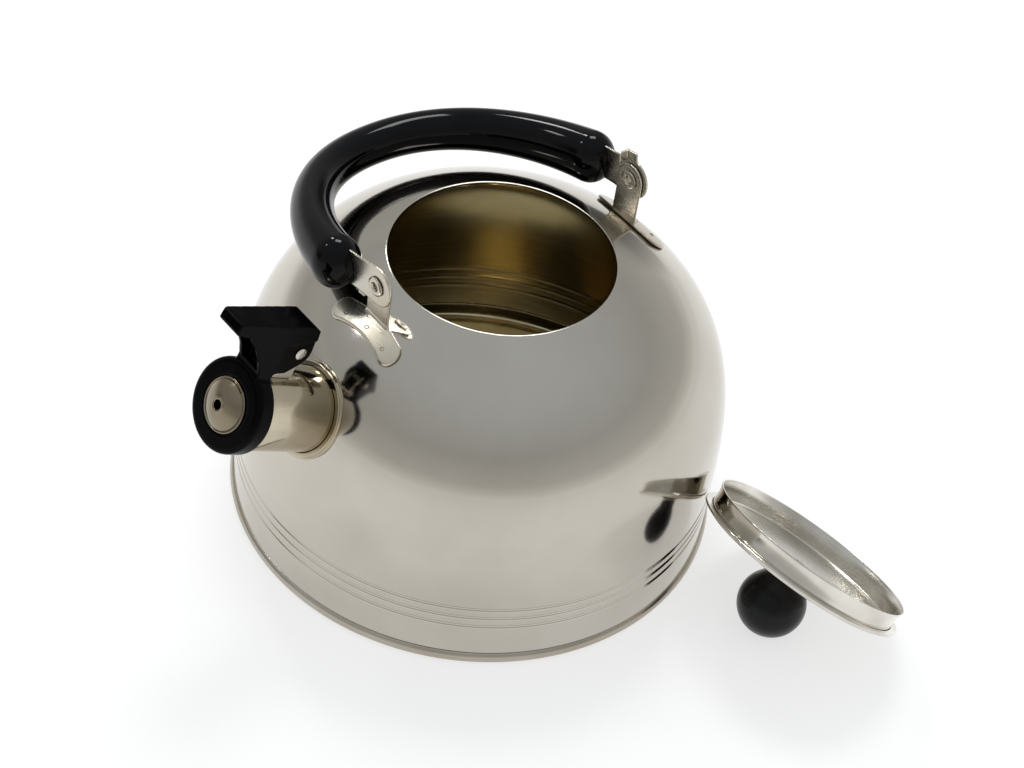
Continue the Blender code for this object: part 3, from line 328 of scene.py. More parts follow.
def turning_tree():
    """Lathe: turns a closed outline, given as points (radius, 0, height), about Z."""
    tree, given = start_tree("turned_outline", "Segments", "NodeSocketInt")
    outline, segments = given["Geometry"], given["Segments"]
    size = add_node(tree, "GeometryNodeAttributeDomainSize", [("Geometry", outline)])
    count = size.outputs["Point Count"]
    columns = add_node(tree, "ShaderNodeMath", [(0, count), (1, 1.0)], operation="ADD")
    rows = add_node(tree, "ShaderNodeMath", [(0, segments), (1, 1.0)], operation="ADD")
    grid = add_node(tree, "GeometryNodeMeshGrid", [("Vertices X", columns), ("Vertices Y", rows)])
    index = add_node(tree, "GeometryNodeInputIndex")
    place = add_node(tree, "ShaderNodeMath", [(0, index), (1, rows)], operation="DIVIDE")
    column = add_node(tree, "ShaderNodeMath", [(0, place)], operation="FLOOR")
    before = add_node(tree, "ShaderNodeMath", [(0, column), (1, rows)], operation="MULTIPLY")
    row = add_node(tree, "ShaderNodeMath", [(0, index), (1, before)], operation="SUBTRACT")
    point = add_node(tree, "ShaderNodeMath", [(0, column), (1, count)], operation="MODULO")
    position = add_node(tree, "GeometryNodeInputPosition")
    picked = add_node(
        tree,
        "GeometryNodeSampleIndex",
        [("Geometry", outline), ("Value", position), ("Index", point)],
        data_type="FLOAT_VECTOR",
    )
    share = add_node(tree, "ShaderNodeMath", [(0, row), (1, segments)], operation="DIVIDE")
    around = add_node(tree, "ShaderNodeMath", [(0, share), (1, FULL_TURN)], operation="MULTIPLY")
    turned = add_node(
        tree, "ShaderNodeVectorRotate", [("Vector", picked), ("Angle", around)], rotation_type="Z_AXIS"
    )
    placed = add_node(tree, "GeometryNodeSetPosition", [("Geometry", grid), ("Position", turned)])
    closed = add_node(
        tree, "GeometryNodeMergeByDistance", [("Geometry", placed), ("Distance", TURNED_MERGE)]
    )
    return end_tree(tree, closed, given["Material"])


def wire_tree():
    """Bends round wire along a curve."""
    tree, given = start_tree("bent_wire", "Wire Radius", "NodeSocketFloat")
    section = add_node(
        tree,
        "GeometryNodeCurvePrimitiveCircle",
        [("Resolution", WIRE_SIDES), ("Radius", given["Wire Radius"])],
    )
    wire = add_node(
        tree,
        "GeometryNodeCurveToMesh",
        [("Curve", given["Geometry"]), ("Profile Curve", section), ("Fill Caps", True)],
    )
    return end_tree(tree, wire, given["Material"])


def copies_tree():
    """Puts a copy of a shape on each point, its Z turned to the point's facing."""
    tree, given = start_tree("copies_on_points", "Shape", "NodeSocketObject")
    shape = add_node(tree, "GeometryNodeObjectInfo", [("Object", given["Shape"])])
    facing = add_node(
        tree, "GeometryNodeInputNamedAttribute", [("Name", "facing")], data_type="FLOAT_VECTOR"
    )
    turned = add_node(tree, "FunctionNodeAlignRotationToVector", [("Vector", facing)], axis="Z")
    copies = add_node(
        tree,
        "GeometryNodeInstanceOnPoints",
        [("Points", given["Geometry"]), ("Instance", shape.outputs["Geometry"]), ("Rotation", turned)],
    )
    return end_tree(tree, copies, given["Material"])


TREES = {}


def run_tree(piece, builder, values):
    """Run a node tree on a piece and return the result as a plain mesh object."""
    if builder.__name__ not in TREES:
        TREES[builder.__name__] = builder()
    tree = TREES[builder.__name__]
    modifier = piece.modifiers.new(tree.name, "NODES")
    modifier.node_group = tree
    for item in tree.interface.items_tree:
        if item.in_out == "INPUT" and item.name in values:
            modifier[item.identifier] = values[item.name]
    return made_real(piece)


# Mesh tools


def made_real(piece):
    """Apply every modifier of a piece and give it back as a plain mesh object."""
    graph = bpy.context.evaluated_depsgraph_get()
    mesh = bpy.data.meshes.new_from_object(piece.evaluated_get(graph), depsgraph=graph)
    name = piece.name
    bpy.data.objects.remove(piece, do_unlink=True)
    mesh.name = name
    return link_piece(name, mesh)


def link_piece(name, data):
    piece = bpy.data.objects.new(name, data)
    bpy.context.scene.collection.objects.link(piece)
    return piece


def smooth(piece):
    piece.data.shade_smooth()
    piece.data.set_sharp_from_angle(angle=SHARP_ANGLE)
    return piece


def mesh_piece(name, points, faces, material=None):
    """A piece from points and faces, with doubles merged and its normals turned outwards."""
    mesh = bpy.data.meshes.new(name)
    mesh.from_pydata([tuple(point) for point in points], [], faces)
    shape = bmesh.new()
    shape.from_mesh(mesh)
    bmesh.ops.remove_doubles(shape, verts=shape.verts[:], dist=PLAIN_MERGE)
    bmesh.ops.recalc_face_normals(shape, faces=shape.faces[:])
    shape.to_mesh(mesh)
    shape.free()
    if material:
        mesh.materials.append(material)
    return smooth(link_piece(name, mesh))


def through_rings(name, rings, material=None, wrapped=False):
    """A closed body through rings of points; wrapped joins the last ring to the first."""
    size = len(rings[0])
    count = len(rings)
    faces = []
    for lower in range(count if wrapped else count - 1):
        upper = (lower + 1) % count
        for step in range(size):
            after = (step + 1) % size
            faces.append(
                (lower * size + step, lower * size + after, upper * size + after, upper * size + step)
            )
    if not wrapped:
        faces.append(tuple(range(size))[::-1])
        faces.append(tuple(range((count - 1) * size, count * size)))
    return mesh_piece(name, [point for ring in rings for point in ring], faces, material)


def extruded(name, outline, place, low, high):
    """Extrude a closed outline between two depths; place(u, v, depth) gives each point."""
    return through_rings(name, [[place(u, v, depth) for u, v in outline] for depth in (low, high)])


def block(name, low, high, place):
    """Box between two corners."""
    outline = [(low[0], low[1]), (high[0], low[1]), (high[0], high[1]), (low[0], high[1])]
    return extruded(name, outline, lambda u, v, depth: place @ Vector((u, v, depth)), low[2], high[2])


def arc(centre, radius, start, end, steps):
    turns = [start + (end - start) * step / steps for step in range(steps + 1)]
    return [(centre[0] + radius * math.cos(t), centre[1] + radius * math.sin(t)) for t in turns]


def filleted(outline, steps=4):
    """Round the corners of a closed outline; a point's third value is the radius of its corner."""
    nearly_straight = math.radians(172)
    line = []
    for index, point in enumerate(outline):
        here = Vector(point[:2])
        radius = point[2] if len(point) > 2 else 0.0
        before = Vector(outline[index - 1][:2]) - here
        after = Vector(outline[(index + 1) % len(outline)][:2]) - here
        between = before.angle(after) if before.length and after.length else math.pi
        if radius == 0.0 or here.x < 1e-6 or between > nearly_straight:
            line.append(tuple(here))
            continue
        cut = min(radius / math.tan(between / 2), 0.45 * min(before.length, after.length))
        start = here + before.normalized() * cut
        end = here + after.normalized() * cut
        for step in range(steps + 1):
            share = step / steps
            bend = start * (1 - share) ** 2 + here * 2 * share * (1 - share) + end * share**2
            line.append(tuple(bend))
    return line


def even_steps(line, step):
    """Points at equal distances along a line of points."""
    line = np.array(line)
    run = np.concatenate(([0.0], np.cumsum(np.linalg.norm(np.diff(line, axis=0), axis=1))))
    places = np.linspace(0.0, run[-1], max(int(run[-1] / step), 1) + 1)
    return list(zip(*(np.interp(places, run, line[:, axis]) for axis in range(line.shape[1]))))


def offset_line(line, distance):
    """Move an open line sideways, to the right of its direction."""
    line = np.array(line)
    along = np.gradient(line, axis=0)
    along /= np.linalg.norm(along, axis=1)[:, None]
    moved = line + distance * np.stack((along[:, 1], -along[:, 0]), axis=1)
    return [tuple(point) for point in moved]


def turn(name, outline, material, sides=DISC_SIDES, place=None):
    """Turn a closed outline of (radius, height) about Z and put it in place."""
    pairs = zip(outline[-1:] + outline[:-1], outline)
    area = sum(first[0] * second[1] - second[0] * first[1] for first, second in pairs)
    ordered = outline if area < 0.0 else outline[::-1]
    mesh = bpy.data.meshes.new(name)
    mesh.from_pydata([(radius, 0.0, height) for radius, height in ordered], [], [])
    piece = run_tree(link_piece(name, mesh), turning_tree, {"Segments": sides, "Material": material})
    if place is not None:
        piece.data.transform(place)
    return smooth(piece)


def rod(name, radius, low, high, sides, place):
    """Plain cylinder to cut with, along the place's Z axis."""
    return turn(name, [(0.0, low), (radius, low), (radius, high), (0.0, high)], None, sides, place)


def bore_cutter(shank, place):
    """Cylinder that drills a running fit for a shank along the place's Z axis."""
    return rod("bore", shank + RUNNING_GAP, -BORE_REACH, BORE_REACH, BORE_SIDES, place)


def copies(name, spots, shape, material):
    """Copies of a shape at (place, facing) spots, as one mesh."""
    mesh = bpy.data.meshes.new(name)
    mesh.from_pydata([tuple(spot) for spot, _ in spots], [], [])
    facing = mesh.attributes.new("facing", "FLOAT_VECTOR", "POINT")
    facing.data.foreach_set("vector", [value for _, way in spots for value in way])
    piece = run_tree(link_piece(name, mesh), copies_tree, {"Shape": shape, "Material": material})
    bpy.data.objects.remove(shape, do_unlink=True)
    return smooth(piece)


def combine(piece, other, operation="DIFFERENCE"):
    """Cut or join another body into a piece and remove that body."""
    modifier = piece.modifiers.new("combine", "BOOLEAN")
    modifier.object = other
    modifier.operation = operation
    modifier.solver = "EXACT"
    piece = made_real(piece)
    bpy.data.objects.remove(other, do_unlink=True)
    return smooth(piece)


def joined(name, *pieces):
    """Put the meshes of several bodies in one object."""
    shape = bmesh.new()
    for piece in pieces:
        shape.from_mesh(piece.data)
        bpy.data.objects.remove(piece, do_unlink=True)
    mesh = bpy.data.meshes.new(name)
    shape.to_mesh(mesh)
    shape.free()
    return link_piece(name, mesh)


def softened(piece, finish, voxel, passes):
    """Merge overlapping bodies and round their edges, as a mould or a tumbler does."""
    merge = piece.modifiers.new("merge", "REMESH")
    merge.mode = "VOXEL"
    merge.voxel_size = voxel
    ease = piece.modifiers.new("ease", "SMOOTH")
    ease.factor = 0.5
    ease.iterations = passes
    piece = made_real(piece)
    piece.data.materials.clear()
    piece.data.materials.append(MATERIALS[finish])
    piece.data.shade_smooth()
    return piece


def seat(piece, body, slot, *nodes):
    """Let a piece move with a body and stand for CAD nodes."""
    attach(piece, body)
    if nodes:
        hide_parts(*nodes)
    return piece


def two_sided(piece, outer, inner, is_inner):
    """Give a piece an outer material and another for the faces that is_inner accepts."""
    piece.data.materials.clear()
    for finish in (outer, inner):
        piece.data.materials.append(MATERIALS[finish])
    for face in piece.data.polygons:
        face.material_index = 1 if is_inner(face) else 0


def dress(node, finish):
    """Give a CAD node that stays in view its finish."""
    frame["nodes"][node].material_slots[0].material = MATERIALS[finish]


# Shape of the crown


def crown_point(body, turn_angle):
    """Point on the crown's line; 0 at the shoulder and a quarter turn on the axis."""
    across = math.cos(turn_angle) ** (2.0 / body.fullness)
    up = math.sin(turn_angle) ** (2.0 / body.squareness)
    rise = body.crown_height - body.shoulder_height
    return body.waist_radius * across, body.shoulder_height + rise * up


def crown_turn_at_height(body, height):
    share = (height - body.shoulder_height) / (body.crown_height - body.shoulder_height)
    return math.asin(min(max(share, 0.0), 1.0) ** (body.squareness / 2.0))


def crown_turn_at_radius(body, radius):
    return math.acos((radius / body.waist_radius) ** (body.fullness / 2.0))


def wall_bottom(body):
    return body.rim_height + RIM_CLEARANCE + GAP


def body_radius_at(body, height):
    if height < body.shoulder_height:
        share = (body.shoulder_height - height) / (body.shoulder_height - wall_bottom(body))
        return body.waist_radius + body.wall_flare * min(max(share, 0.0), 1.0)
    return crown_point(body, crown_turn_at_height(body, height))[0]


def crown_height_at(body, radius):
    return crown_point(body, crown_turn_at_radius(body, radius))[1]


def crown_fall(body, radius):
    """How much the crown falls over FALL_SPAN at a radius."""
    half = FALL_SPAN / 2
    return crown_height_at(body, radius - half) - crown_height_at(body, radius + half)


def spout_matrix(body, spout):
    """Place of the spout: local Z along it, local X above it."""
    height = body.shoulder_height + (body.crown_height - body.shoulder_height) * spout.rise_share
    exit_place = Vector((-body_radius_at(body, height), 0.0, height))
    return Matrix.Translation(exit_place) @ Matrix.Rotation(spout.elevation - math.pi / 2, 4, "Y")


def crown_reach(body, place, radius, turn_angle):
    """Distance along the spout at which a line beside its axis meets the crown."""
    start = place @ Vector((radius * math.cos(turn_angle), radius * math.sin(turn_angle), 0.0))
    along = place.to_3x3() @ Vector((0.0, 0.0, 1.0))
    low, high = -body.waist_radius / 2, body.waist_radius / 2
    for _ in range(36):
        middle = (low + high) / 2
        point = start + along * middle
        inside = math.hypot(point.x, point.y) < body_radius_at(body, point.z)
        low, high = (middle, high) if inside else (low, middle)
    return low


# Materials

# Cloudy patches in steel, and patches in the gloss of plastic: about 45 mm and 11 mm across.
CLOUDS_PER_METRE = 22.0
MOTTLES_PER_METRE = 90.0
# Height of a polishing line, and of the grain in a moulded skin.
LINE_HEIGHT = 0.00002
GRAIN_HEIGHT = 0.00005
# How much the lines change along Y, where 1 is how much they change across.
LINE_DRIFT = (0.0, 0.03, 0.0)
# Location and rotation of the axis of a piece that stands upright in the middle.
UPRIGHT = ((0.0, 0.0, 0.0), (0.0, 0.0, 0.0))

MATERIALS = {}


def start_material(name, shader_values):
    """A material with a Principled shader whose even values sit on its own sockets."""
    material = bpy.data.materials.new(name)
    material.use_nodes = True
    tree = material.node_tree
    shader = tree.nodes["Principled BSDF"]
    for socket, value in shader_values.items():
        shader.inputs[socket].default_value = value
    return material, tree, shader


def place_coordinates(tree, axis=UPRIGHT):
    """Object coordinates measured from a piece's own axis."""
    source = add_node(tree, "ShaderNodeTexCoord")
    return add_node(
        tree,
        "ShaderNodeMapping",
        [("Vector", source.outputs["Object"]), ("Location", axis[0]), ("Rotation", axis[1])],
        vector_type="TEXTURE",
    )


def finish_material(tree, shader, tint, gloss, pattern, relief, height):
    """Feed the shader its colour and roughness, and a fine relief that follows the pattern."""
    bump = add_node(
        tree, "ShaderNodeBump", [("Strength", relief), ("Distance", height), ("Height", pattern)]
    )
    for socket, source in (("Base Color", tint), ("Roughness", gloss), ("Normal", bump)):
        tree.links.new(source.outputs[0], shader.inputs[socket])


def grey(value):
    return (value, value, value, 1.0)


def metal(name, main, cloud, rough, spread, lines, relief, axis=UPRIGHT):
    """Steel with cloudy patches and fine lines that run round its axis.

    main and cloud name its two colours, and its roughness is rough, more or less spread.
    lines is the spacing of the polishing or brushing lines, in metres. Real lines are finer than
    a tenth of a millimetre, so they are drawn coarser to show. relief is their bump strength.
    """
    shades = settings().colours
    material, tree, shader = start_material(name, {"Metallic": 1.0})
    place = place_coordinates(tree, axis)
    clouds = add_node(
        tree,
        "ShaderNodeTexNoise",
        [("Vector", place), ("Scale", CLOUDS_PER_METRE), ("Detail", 3.0), ("Roughness", 0.55)],
    )
    tint = add_node(
        tree,
        "ShaderNodeValToRGB",
        [("Fac", clouds)],
        stops=[(0.35, getattr(shades, main)), (0.68, getattr(shades, cloud))],
    )
    # The lines follow distance from the axis and height, so they run round the axis.
    parts = add_node(tree, "ShaderNodeSeparateXYZ", [("Vector", place)]).outputs
    flat = add_node(tree, "ShaderNodeCombineXYZ", [("X", parts["X"]), ("Y", parts["Y"])])
    radius = add_node(tree, "ShaderNodeVectorMath", [(0, flat)], operation="LENGTH").outputs["Value"]
    profile = add_node(tree, "ShaderNodeCombineXYZ", [("X", radius), ("Z", parts["Z"])])
    drift = add_node(tree, "ShaderNodeVectorMath", [(0, place), (1, LINE_DRIFT)], operation="MULTIPLY")
    round_axis = add_node(tree, "ShaderNodeVectorMath", [(0, profile), (1, drift)], operation="ADD")
    streaks = add_node(
        tree,
        "ShaderNodeTexNoise",
        [("Vector", round_axis), ("Scale", 1.0 / lines), ("Detail", 2.0), ("Roughness", 0.6)],
    )
    mixed = add_node(tree, "ShaderNodeMath", [(0, streaks), (1, clouds)], operation="MULTIPLY")
    gloss = add_node(
        tree,
        "ShaderNodeValToRGB",
        [("Fac", mixed)],
        stops=[(0.12, grey(rough - spread)), (0.45, grey(rough + spread))],
    )
    finish_material(tree, shader, tint, gloss, streaks, relief, LINE_HEIGHT)
    return material


def moulding(name, main, rough, spread, grain, relief, shine):
    """Black moulded plastic: even colour, slight mottling of its gloss and a fine skin.

    main names its colour. grain is the size of the skin's grain, in metres, and relief its bump
    strength. shine is the level of the clear reflection, which is kept under the usual 0.5 so
    that the blacks stay as deep as the object's.
    """
    colour_value = tuple(getattr(settings().colours, main))
    material, tree, shader = start_material(name, {"Specular IOR Level": shine})
    place = place_coordinates(tree)
    mottling = add_node(
        tree,
        "ShaderNodeTexNoise",
        [("Vector", place), ("Scale", MOTTLES_PER_METRE), ("Detail", 4.0), ("Roughness", 0.6)],
    )
    lighter = tuple(min(channel * 1.6 + 0.0006, 1.0) for channel in colour_value[:3]) + (1.0,)
    tint = add_node(
        tree,
        "ShaderNodeValToRGB",
        [("Fac", mottling)],
        stops=[(0.4, colour_value), (0.75, lighter)],
    )
    gloss = add_node(
        tree,
        "ShaderNodeValToRGB",
        [("Fac", mottling)],
        stops=[(0.3, grey(rough - spread)), (0.7, grey(rough + spread))],
    )
    skin = add_node(
        tree, "ShaderNodeTexNoise", [("Vector", place), ("Scale", 1.0 / grain), ("Detail", 2.0)]
    )
    finish_material(tree, shader, tint, gloss, skin, relief, GRAIN_HEIGHT)
    return material


def make_materials():
    """Make each finish from the metal or plastic that it is and the way its surface was made."""
    spout_place = spout_matrix(settings().body, settings().spout)
    spout_axis = (spout_place.to_translation(), spout_place.to_euler())
    lid_axis = (LID_SEAT, (0.0, math.pi + LID_LEAN, LID_HEADING))
    # 18/10 stainless steel pressed and mirror polished: clear, slightly soft reflections.
    MATERIALS["mirror"] = metal(
        "mirror_polished_steel", "body", "body_cloud", rough=0.10, spread=0.025, lines=0.0006, relief=0.05
    )
    # The same steel inside, left as drawn and tinted: dull gold that swallows light.
    MATERIALS["inside"] = metal(
        "heat_tinted_steel", "inside", "inside_dark", rough=0.17, spread=0.04, lines=0.0009, relief=0.06
    )
    # Drawn tube, polished by hand: warm, with soft rings.
    MATERIALS["spout"] = metal(
        "drawn_warm_steel", "spout", "spout_tint",
        rough=0.075, spread=0.025, lines=0.0008, relief=0.06,
        axis=spout_axis,
    )
    # The whistle's discs: steel painted darker and browner than the tube, a painted dark reflection for
    # what the dome mirrors, with a softer gloss.
    MATERIALS["whistle"] = metal(
        "browned_whistle_steel", "whistle", "spout_tint",
        rough=0.14, spread=0.04, lines=0.0008, relief=0.08,
        axis=spout_axis,
    )
    # Stamped and tumbled sheet: bright satin with fine scratches.
    MATERIALS["bracket"] = metal(
        "stamped_satin_steel", "bracket", "spout", rough=0.30, spread=0.06, lines=0.0005, relief=0.08
    )
    # Brushed base: duller, with lines round the axis.
    MATERIALS["base"] = metal(
        "brushed_base_steel", "base", "body_cloud", rough=0.28, spread=0.06, lines=0.0007, relief=0.3
    )
    # Outside of the lid, mirror polished like the body; its colour is painted a little brighter, a
    # painted brighter reflection.
    MATERIALS["lid"] = metal(
        "mirror_polished_lid", "lid", "body_cloud",
        rough=0.10, spread=0.03, lines=0.0006, relief=0.06,
        axis=lid_axis,
    )
    # Inside of the lid, brushed on a lathe: rings of fine lines and a satin sheen.
    MATERIALS["lid_inside"] = metal(
        "brushed_lid_steel", "lid", "body_cloud",
        rough=0.27, spread=0.06, lines=0.0009, relief=0.16,
        axis=lid_axis,
    )
    # Die cast aluminium: matt and grainy.
    MATERIALS["core"] = metal(
        "cast_aluminium", "aluminium", "base", rough=0.5, spread=0.08, lines=0.002, relief=0.3
    )
    # Hard drawn spring wire: grey, with a dull gloss. The weld marks take it too, and there its dark grey
    # is painted shade for the shadow inside each weld pit.
    MATERIALS["spring"] = metal(
        "spring_wire_steel", "spring", "base", rough=0.32, spread=0.05, lines=0.0004, relief=0.1
    )
    # Phenolic resin, pressed and buffed: deep black with a hard, wet gloss.
    MATERIALS["grip"] = moulding(
        "glossy_black_phenolic", "grip",
        rough=0.065, spread=0.02, grain=0.0022, relief=0.03, shine=0.15,
    )
    # The knob's phenolic resin as it leaves the mould: satin.
    MATERIALS["knob"] = moulding(
        "satin_black_phenolic", "knob", rough=0.25, spread=0.05, grain=0.0008, relief=0.12, shine=0.22
    )
    # Injection moulded heat-proof nylon: half matt with a fine grain.
    MATERIALS["plastic"] = moulding(
        "black_moulded_nylon", "plastic", rough=0.15, spread=0.04, grain=0.0004, relief=0.10, shine=0.05
    )


# Body


def body_outline(body):
    """Closed outline of the body's sheet, with the grooves and the edge turned under the mouth."""

    def groove(height):
        depth = 0.0
        for index in range(3):
            away = abs(height - body.groove_base - body.groove_pitch * index)
            if away < body.groove_width / 2:
                depth = body.groove_depth * 0.5 * (1.0 + math.cos(FULL_TURN * away / body.groove_width))
        return depth

    below = body.groove_base - body.groove_width
    above = body.groove_base + 2 * body.groove_pitch + body.groove_width
    wall_steps, groove_steps, crown_steps = 9, 52, 2000
    crown_pitch = 0.0013
    line = [(body_radius_at(body, z), z) for z in np.linspace(wall_bottom(body), below, wall_steps)]
    grooved = np.linspace(below, above, groove_steps)[1:]
    line += [(body_radius_at(body, z) - groove(z), z) for z in grooved]
    first = crown_turn_at_height(body, above)
    last = crown_turn_at_radius(body, body.mouth_radius)
    crown = [crown_point(body, t) for t in np.linspace(first, last, crown_steps)]
    line += even_steps(crown, crown_pitch)[1:]
    radius, height = line[-1]
    inner = [point for point in offset_line(line, -SHEET) if point[0] > radius + body.lip_width]
    inner[0] = (inner[0][0], line[0][1])
    lip = [
        (radius, height, 0.0006),
        (radius, height - body.lip_thickness, 0.0005),
        (radius + body.lip_width, height - body.lip_thickness - body.lip_width / 3),
    ]
    outer = [point for point in line[:-1] if point[0] > radius + 0.0008]
    return filleted(outer + lip + inner[::-1])


def build_shell():
    """Body shell with its grooves and turned mouth, and the hole behind the spout."""
    body, spout = settings().body, settings().spout
    shell = turn("kettle_body", body_outline(body), MATERIALS["mirror"], BODY_SIDES)
    place = spout_matrix(body, spout)
    shell = combine(shell, rod("spout_drill", spout.hole_radius, -0.03, 0.02, DISC_SIDES, place))
    middle = Vector((0.0, 0.0, body.crown_height * 0.4))

    def faces_water(face):
        away = math.hypot(*face.center.xy) > body.mouth_radius + 0.0009
        return away and face.normal.dot(face.center - middle) < 0.0

    two_sided(shell, "mirror", "inside", faces_water)
    seat(shell, "kettle", "polished_stainless_steel", "body_shell")


def build_base_pan():
    """Base pan, which ends in the rolled seam round the kettle's foot."""
    body = settings().body
    wall = body.waist_radius + body.wall_flare
    rim = wall + body.rim_overhang
    bead = body.rim_height / 2
    inner = wall - SHEET - GAP
    pan_floor = BASE_STACK
    pan_top = pan_floor + SHEET
    top = RIM_CLEARANCE + body.rim_height
    outline = [
        (0.0, pan_floor),
        (inner - 0.006, pan_floor, 0.0015),
        (inner - 0.002, RIM_CLEARANCE, 0.001),
    ]
    outline += arc((rim - bead, RIM_CLEARANCE + bead), bead, -math.pi / 2, math.pi / 2, 22)
    outline += [
        (inner, top, 0.0004),
        (inner, top + body.pan_lip, 0.0003),
        (inner - SHEET, top + body.pan_lip, 0.0003),
        (inner - SHEET - 0.0008, pan_top + 0.0015, 0.002),
        (inner - SHEET - 0.0030, pan_top, 0.002),
        (0.0, pan_top),
    ]
    pan = turn("base_pan_seam", filleted(outline), MATERIALS["base"], BODY_SIDES)
    edge = inner - 0.0004

    def holds_water(face):
        return face.center.z > pan_top - 0.0002 and math.hypot(*face.center.xy) < edge

    two_sided(pan, "base", "inside", holds_water)
    seat(pan, "kettle", "brushed_stainless_steel", "base_pan")


def build_base_cap():
    """Steel cup that closes the heat spreader from below, and the spreader's own finish."""
    cup = CORE_RADIUS + GAP
    outline = [
        (0.0, 0.0),
        (cup + SHEET, 0.0, 0.0010),
        (cup + SHEET, BASE_STACK - GAP, 0.0003),
        (cup, BASE_STACK - GAP, 0.0003),
        (cup, SHEET),
        (0.0, SHEET),
    ]
    cap = turn("base_spreader_cap", filleted(outline), MATERIALS["base"], BASE_CAP_SIDES)
    seat(cap, "kettle", "brushed_stainless_steel", "base_cap")
    dress("base_core", "core")


# Spout


def fitted_tube(name, body, place, outline):
    """Tube about the spout's axis; a height of None is where its wall meets the crown."""
    rings = []
    for radius, height in outline:
        ring = []
        for step in range(TUBE_SIDES):
            around = FULL_TURN * step / TUBE_SIDES
            along = crown_reach(body, place, radius, around) + GAP if height is None else height
            ring.append(place @ Vector((radius * math.cos(around), radius * math.sin(around), along)))
        rings.append(ring)
    return through_rings(name, rings, MATERIALS["spout"], wrapped=True)


def build_spout():
    """Spout tube, narrowed at its end."""
    body, spout = settings().body, settings().spout
    bore = spout.tube_radius - SHEET
    taper = spout.length - spout.taper
    end = spout.end_radius
    straight = 0.010
    outline = [
        (spout.tube_radius, None),
        (spout.tube_radius, straight),
        (spout.tube_radius, taper - 0.001),
        (spout.tube_radius - 0.00008, taper),
        (end + 0.0003, spout.length - 0.0006),
        (end, spout.length - 0.0002),
        (end - 0.0003, spout.length),
        (end - 0.0006, spout.length - 0.0001),
        (end - SHEET, spout.length - 0.0004),
        (bore, taper - 0.0008),
        (bore, straight),
        (bore, None),
    ]
    tube = fitted_tube("spout_pipe", body, spout_matrix(body, spout), outline)
    seat(tube, "kettle", "drawn_stainless_steel", "spout_tube")


def build_spout_ring():
    """Stepped ring round the spout's root, and the finish of the lug behind it."""
    body, spout = settings().body, settings().spout
    place = spout_matrix(body, spout)
    tries = 24
    reach = max(
        crown_reach(body, place, spout.ring_radius, FULL_TURN * k / tries) for k in range(tries)
    )
    front = reach + spout.ring_height
    inside = spout.tube_radius + GAP
    wide = spout.ring_radius
    second = wide - 0.0008
    profile = [(inside, None), (wide, None), (wide, front - 0.0029)]
    profile += arc((wide - 0.0005, front - 0.0024), 0.0005, 0.0, math.pi / 2, 5)
    profile += arc((second - 0.0004, front - 0.0006), 0.0006, -0.9, math.pi / 2, 9)
    profile += [(inside, front)]
    ring = fitted_tube("spout_root_ring", body, place, profile)
    seat(ring, "kettle", "drawn_stainless_steel", "spout_ring")
    dress("cap_lug", "bracket")


# Whistle cap


def cap_plan(spout):
    """Places along the spout and heights above its axis that the cap's pieces share."""
    high = spout.tube_radius + spout.pin_height
    along = spout.length - spout.pin_back
    rear = spout.length - spout.collar_overlap
    front = rear + spout.collar_length
    top = high + spout.lever_height + spout.lever_slope
    return SimpleNamespace(
        high=high,
        along=along,
        rear=rear,
        front=front,
        socket_end=front - COLLAR_FRONT,
        back=along - spout.lever_rear,
        tip=spout.length + spout.lever_reach,
        top=top,
        under=top - spout.lever_plate,
    )


def half_width(spout, cap, along):
    """Half width of the lever at a place along the spout."""
    share = min(max((along - cap.back) / (cap.tip - cap.back), 0.0), 1.0)
    return spout.lever_rear_half + (spout.lever_front_half - spout.lever_rear_half) * share


def cheek_half(spout, cap):
    """Half width of the lever between the heads of its pin."""
    return half_width(spout, cap, cap.along) - CHEEK_CUT


def hinge_matrix(body, spout, cap):
    """Place of the cap's hinge: its origin on the pin, its axes those of the spout."""
    return spout_matrix(body, spout) @ Matrix.Translation((cap.high, 0.0, cap.along))


def pin_matrix(body, spout, cap):
    """Place of the hinge pin, with Z along it."""
    return hinge_matrix(body, spout, cap) @ Matrix.Rotation(-math.pi / 2, 4, "X")


def lever_outline(spout, cap):
    """Side view of the lever, as (along the spout, above its axis) and each corner's radius."""
    rear, front, back, tip = cap.rear, cap.front, cap.back, cap.tip
    high, top, under = cap.high, cap.top, cap.under
    tube = spout.tube_radius
    return [
        (rear + 0.0002, tube - 0.001),
        (front - 0.0004, tube - 0.001),
        (front - 0.0004, tube + 0.0025, 0.002),
        (front + 0.0025, tube + 0.0075, 0.006),
        (front + 0.0078, tube + 0.0135, 0.006),
        (front + 0.0135, under - 0.0022, 0.004),
        (tip, under - 0.0018, 0.0014),
        (tip - 0.0002, top - spout.lever_slope, 0.0016),
        (back + 0.0041, top, 0.0025),
        (back + 0.0022, top - 0.0008, 0.001),
        (back + 0.0014, under + 0.0012, 0.001),
        (back, high + 0.0010, 0.004),
        (back + 0.0003, high - 0.0022, 0.004),
        (cap.along - 0.0035, high - 0.0052, 0.003),
        (cap.along + 0.0024, tube + 0.0036, 0.003),
        (rear + 0.0002, tube + 0.0030, 0.001),
    ]


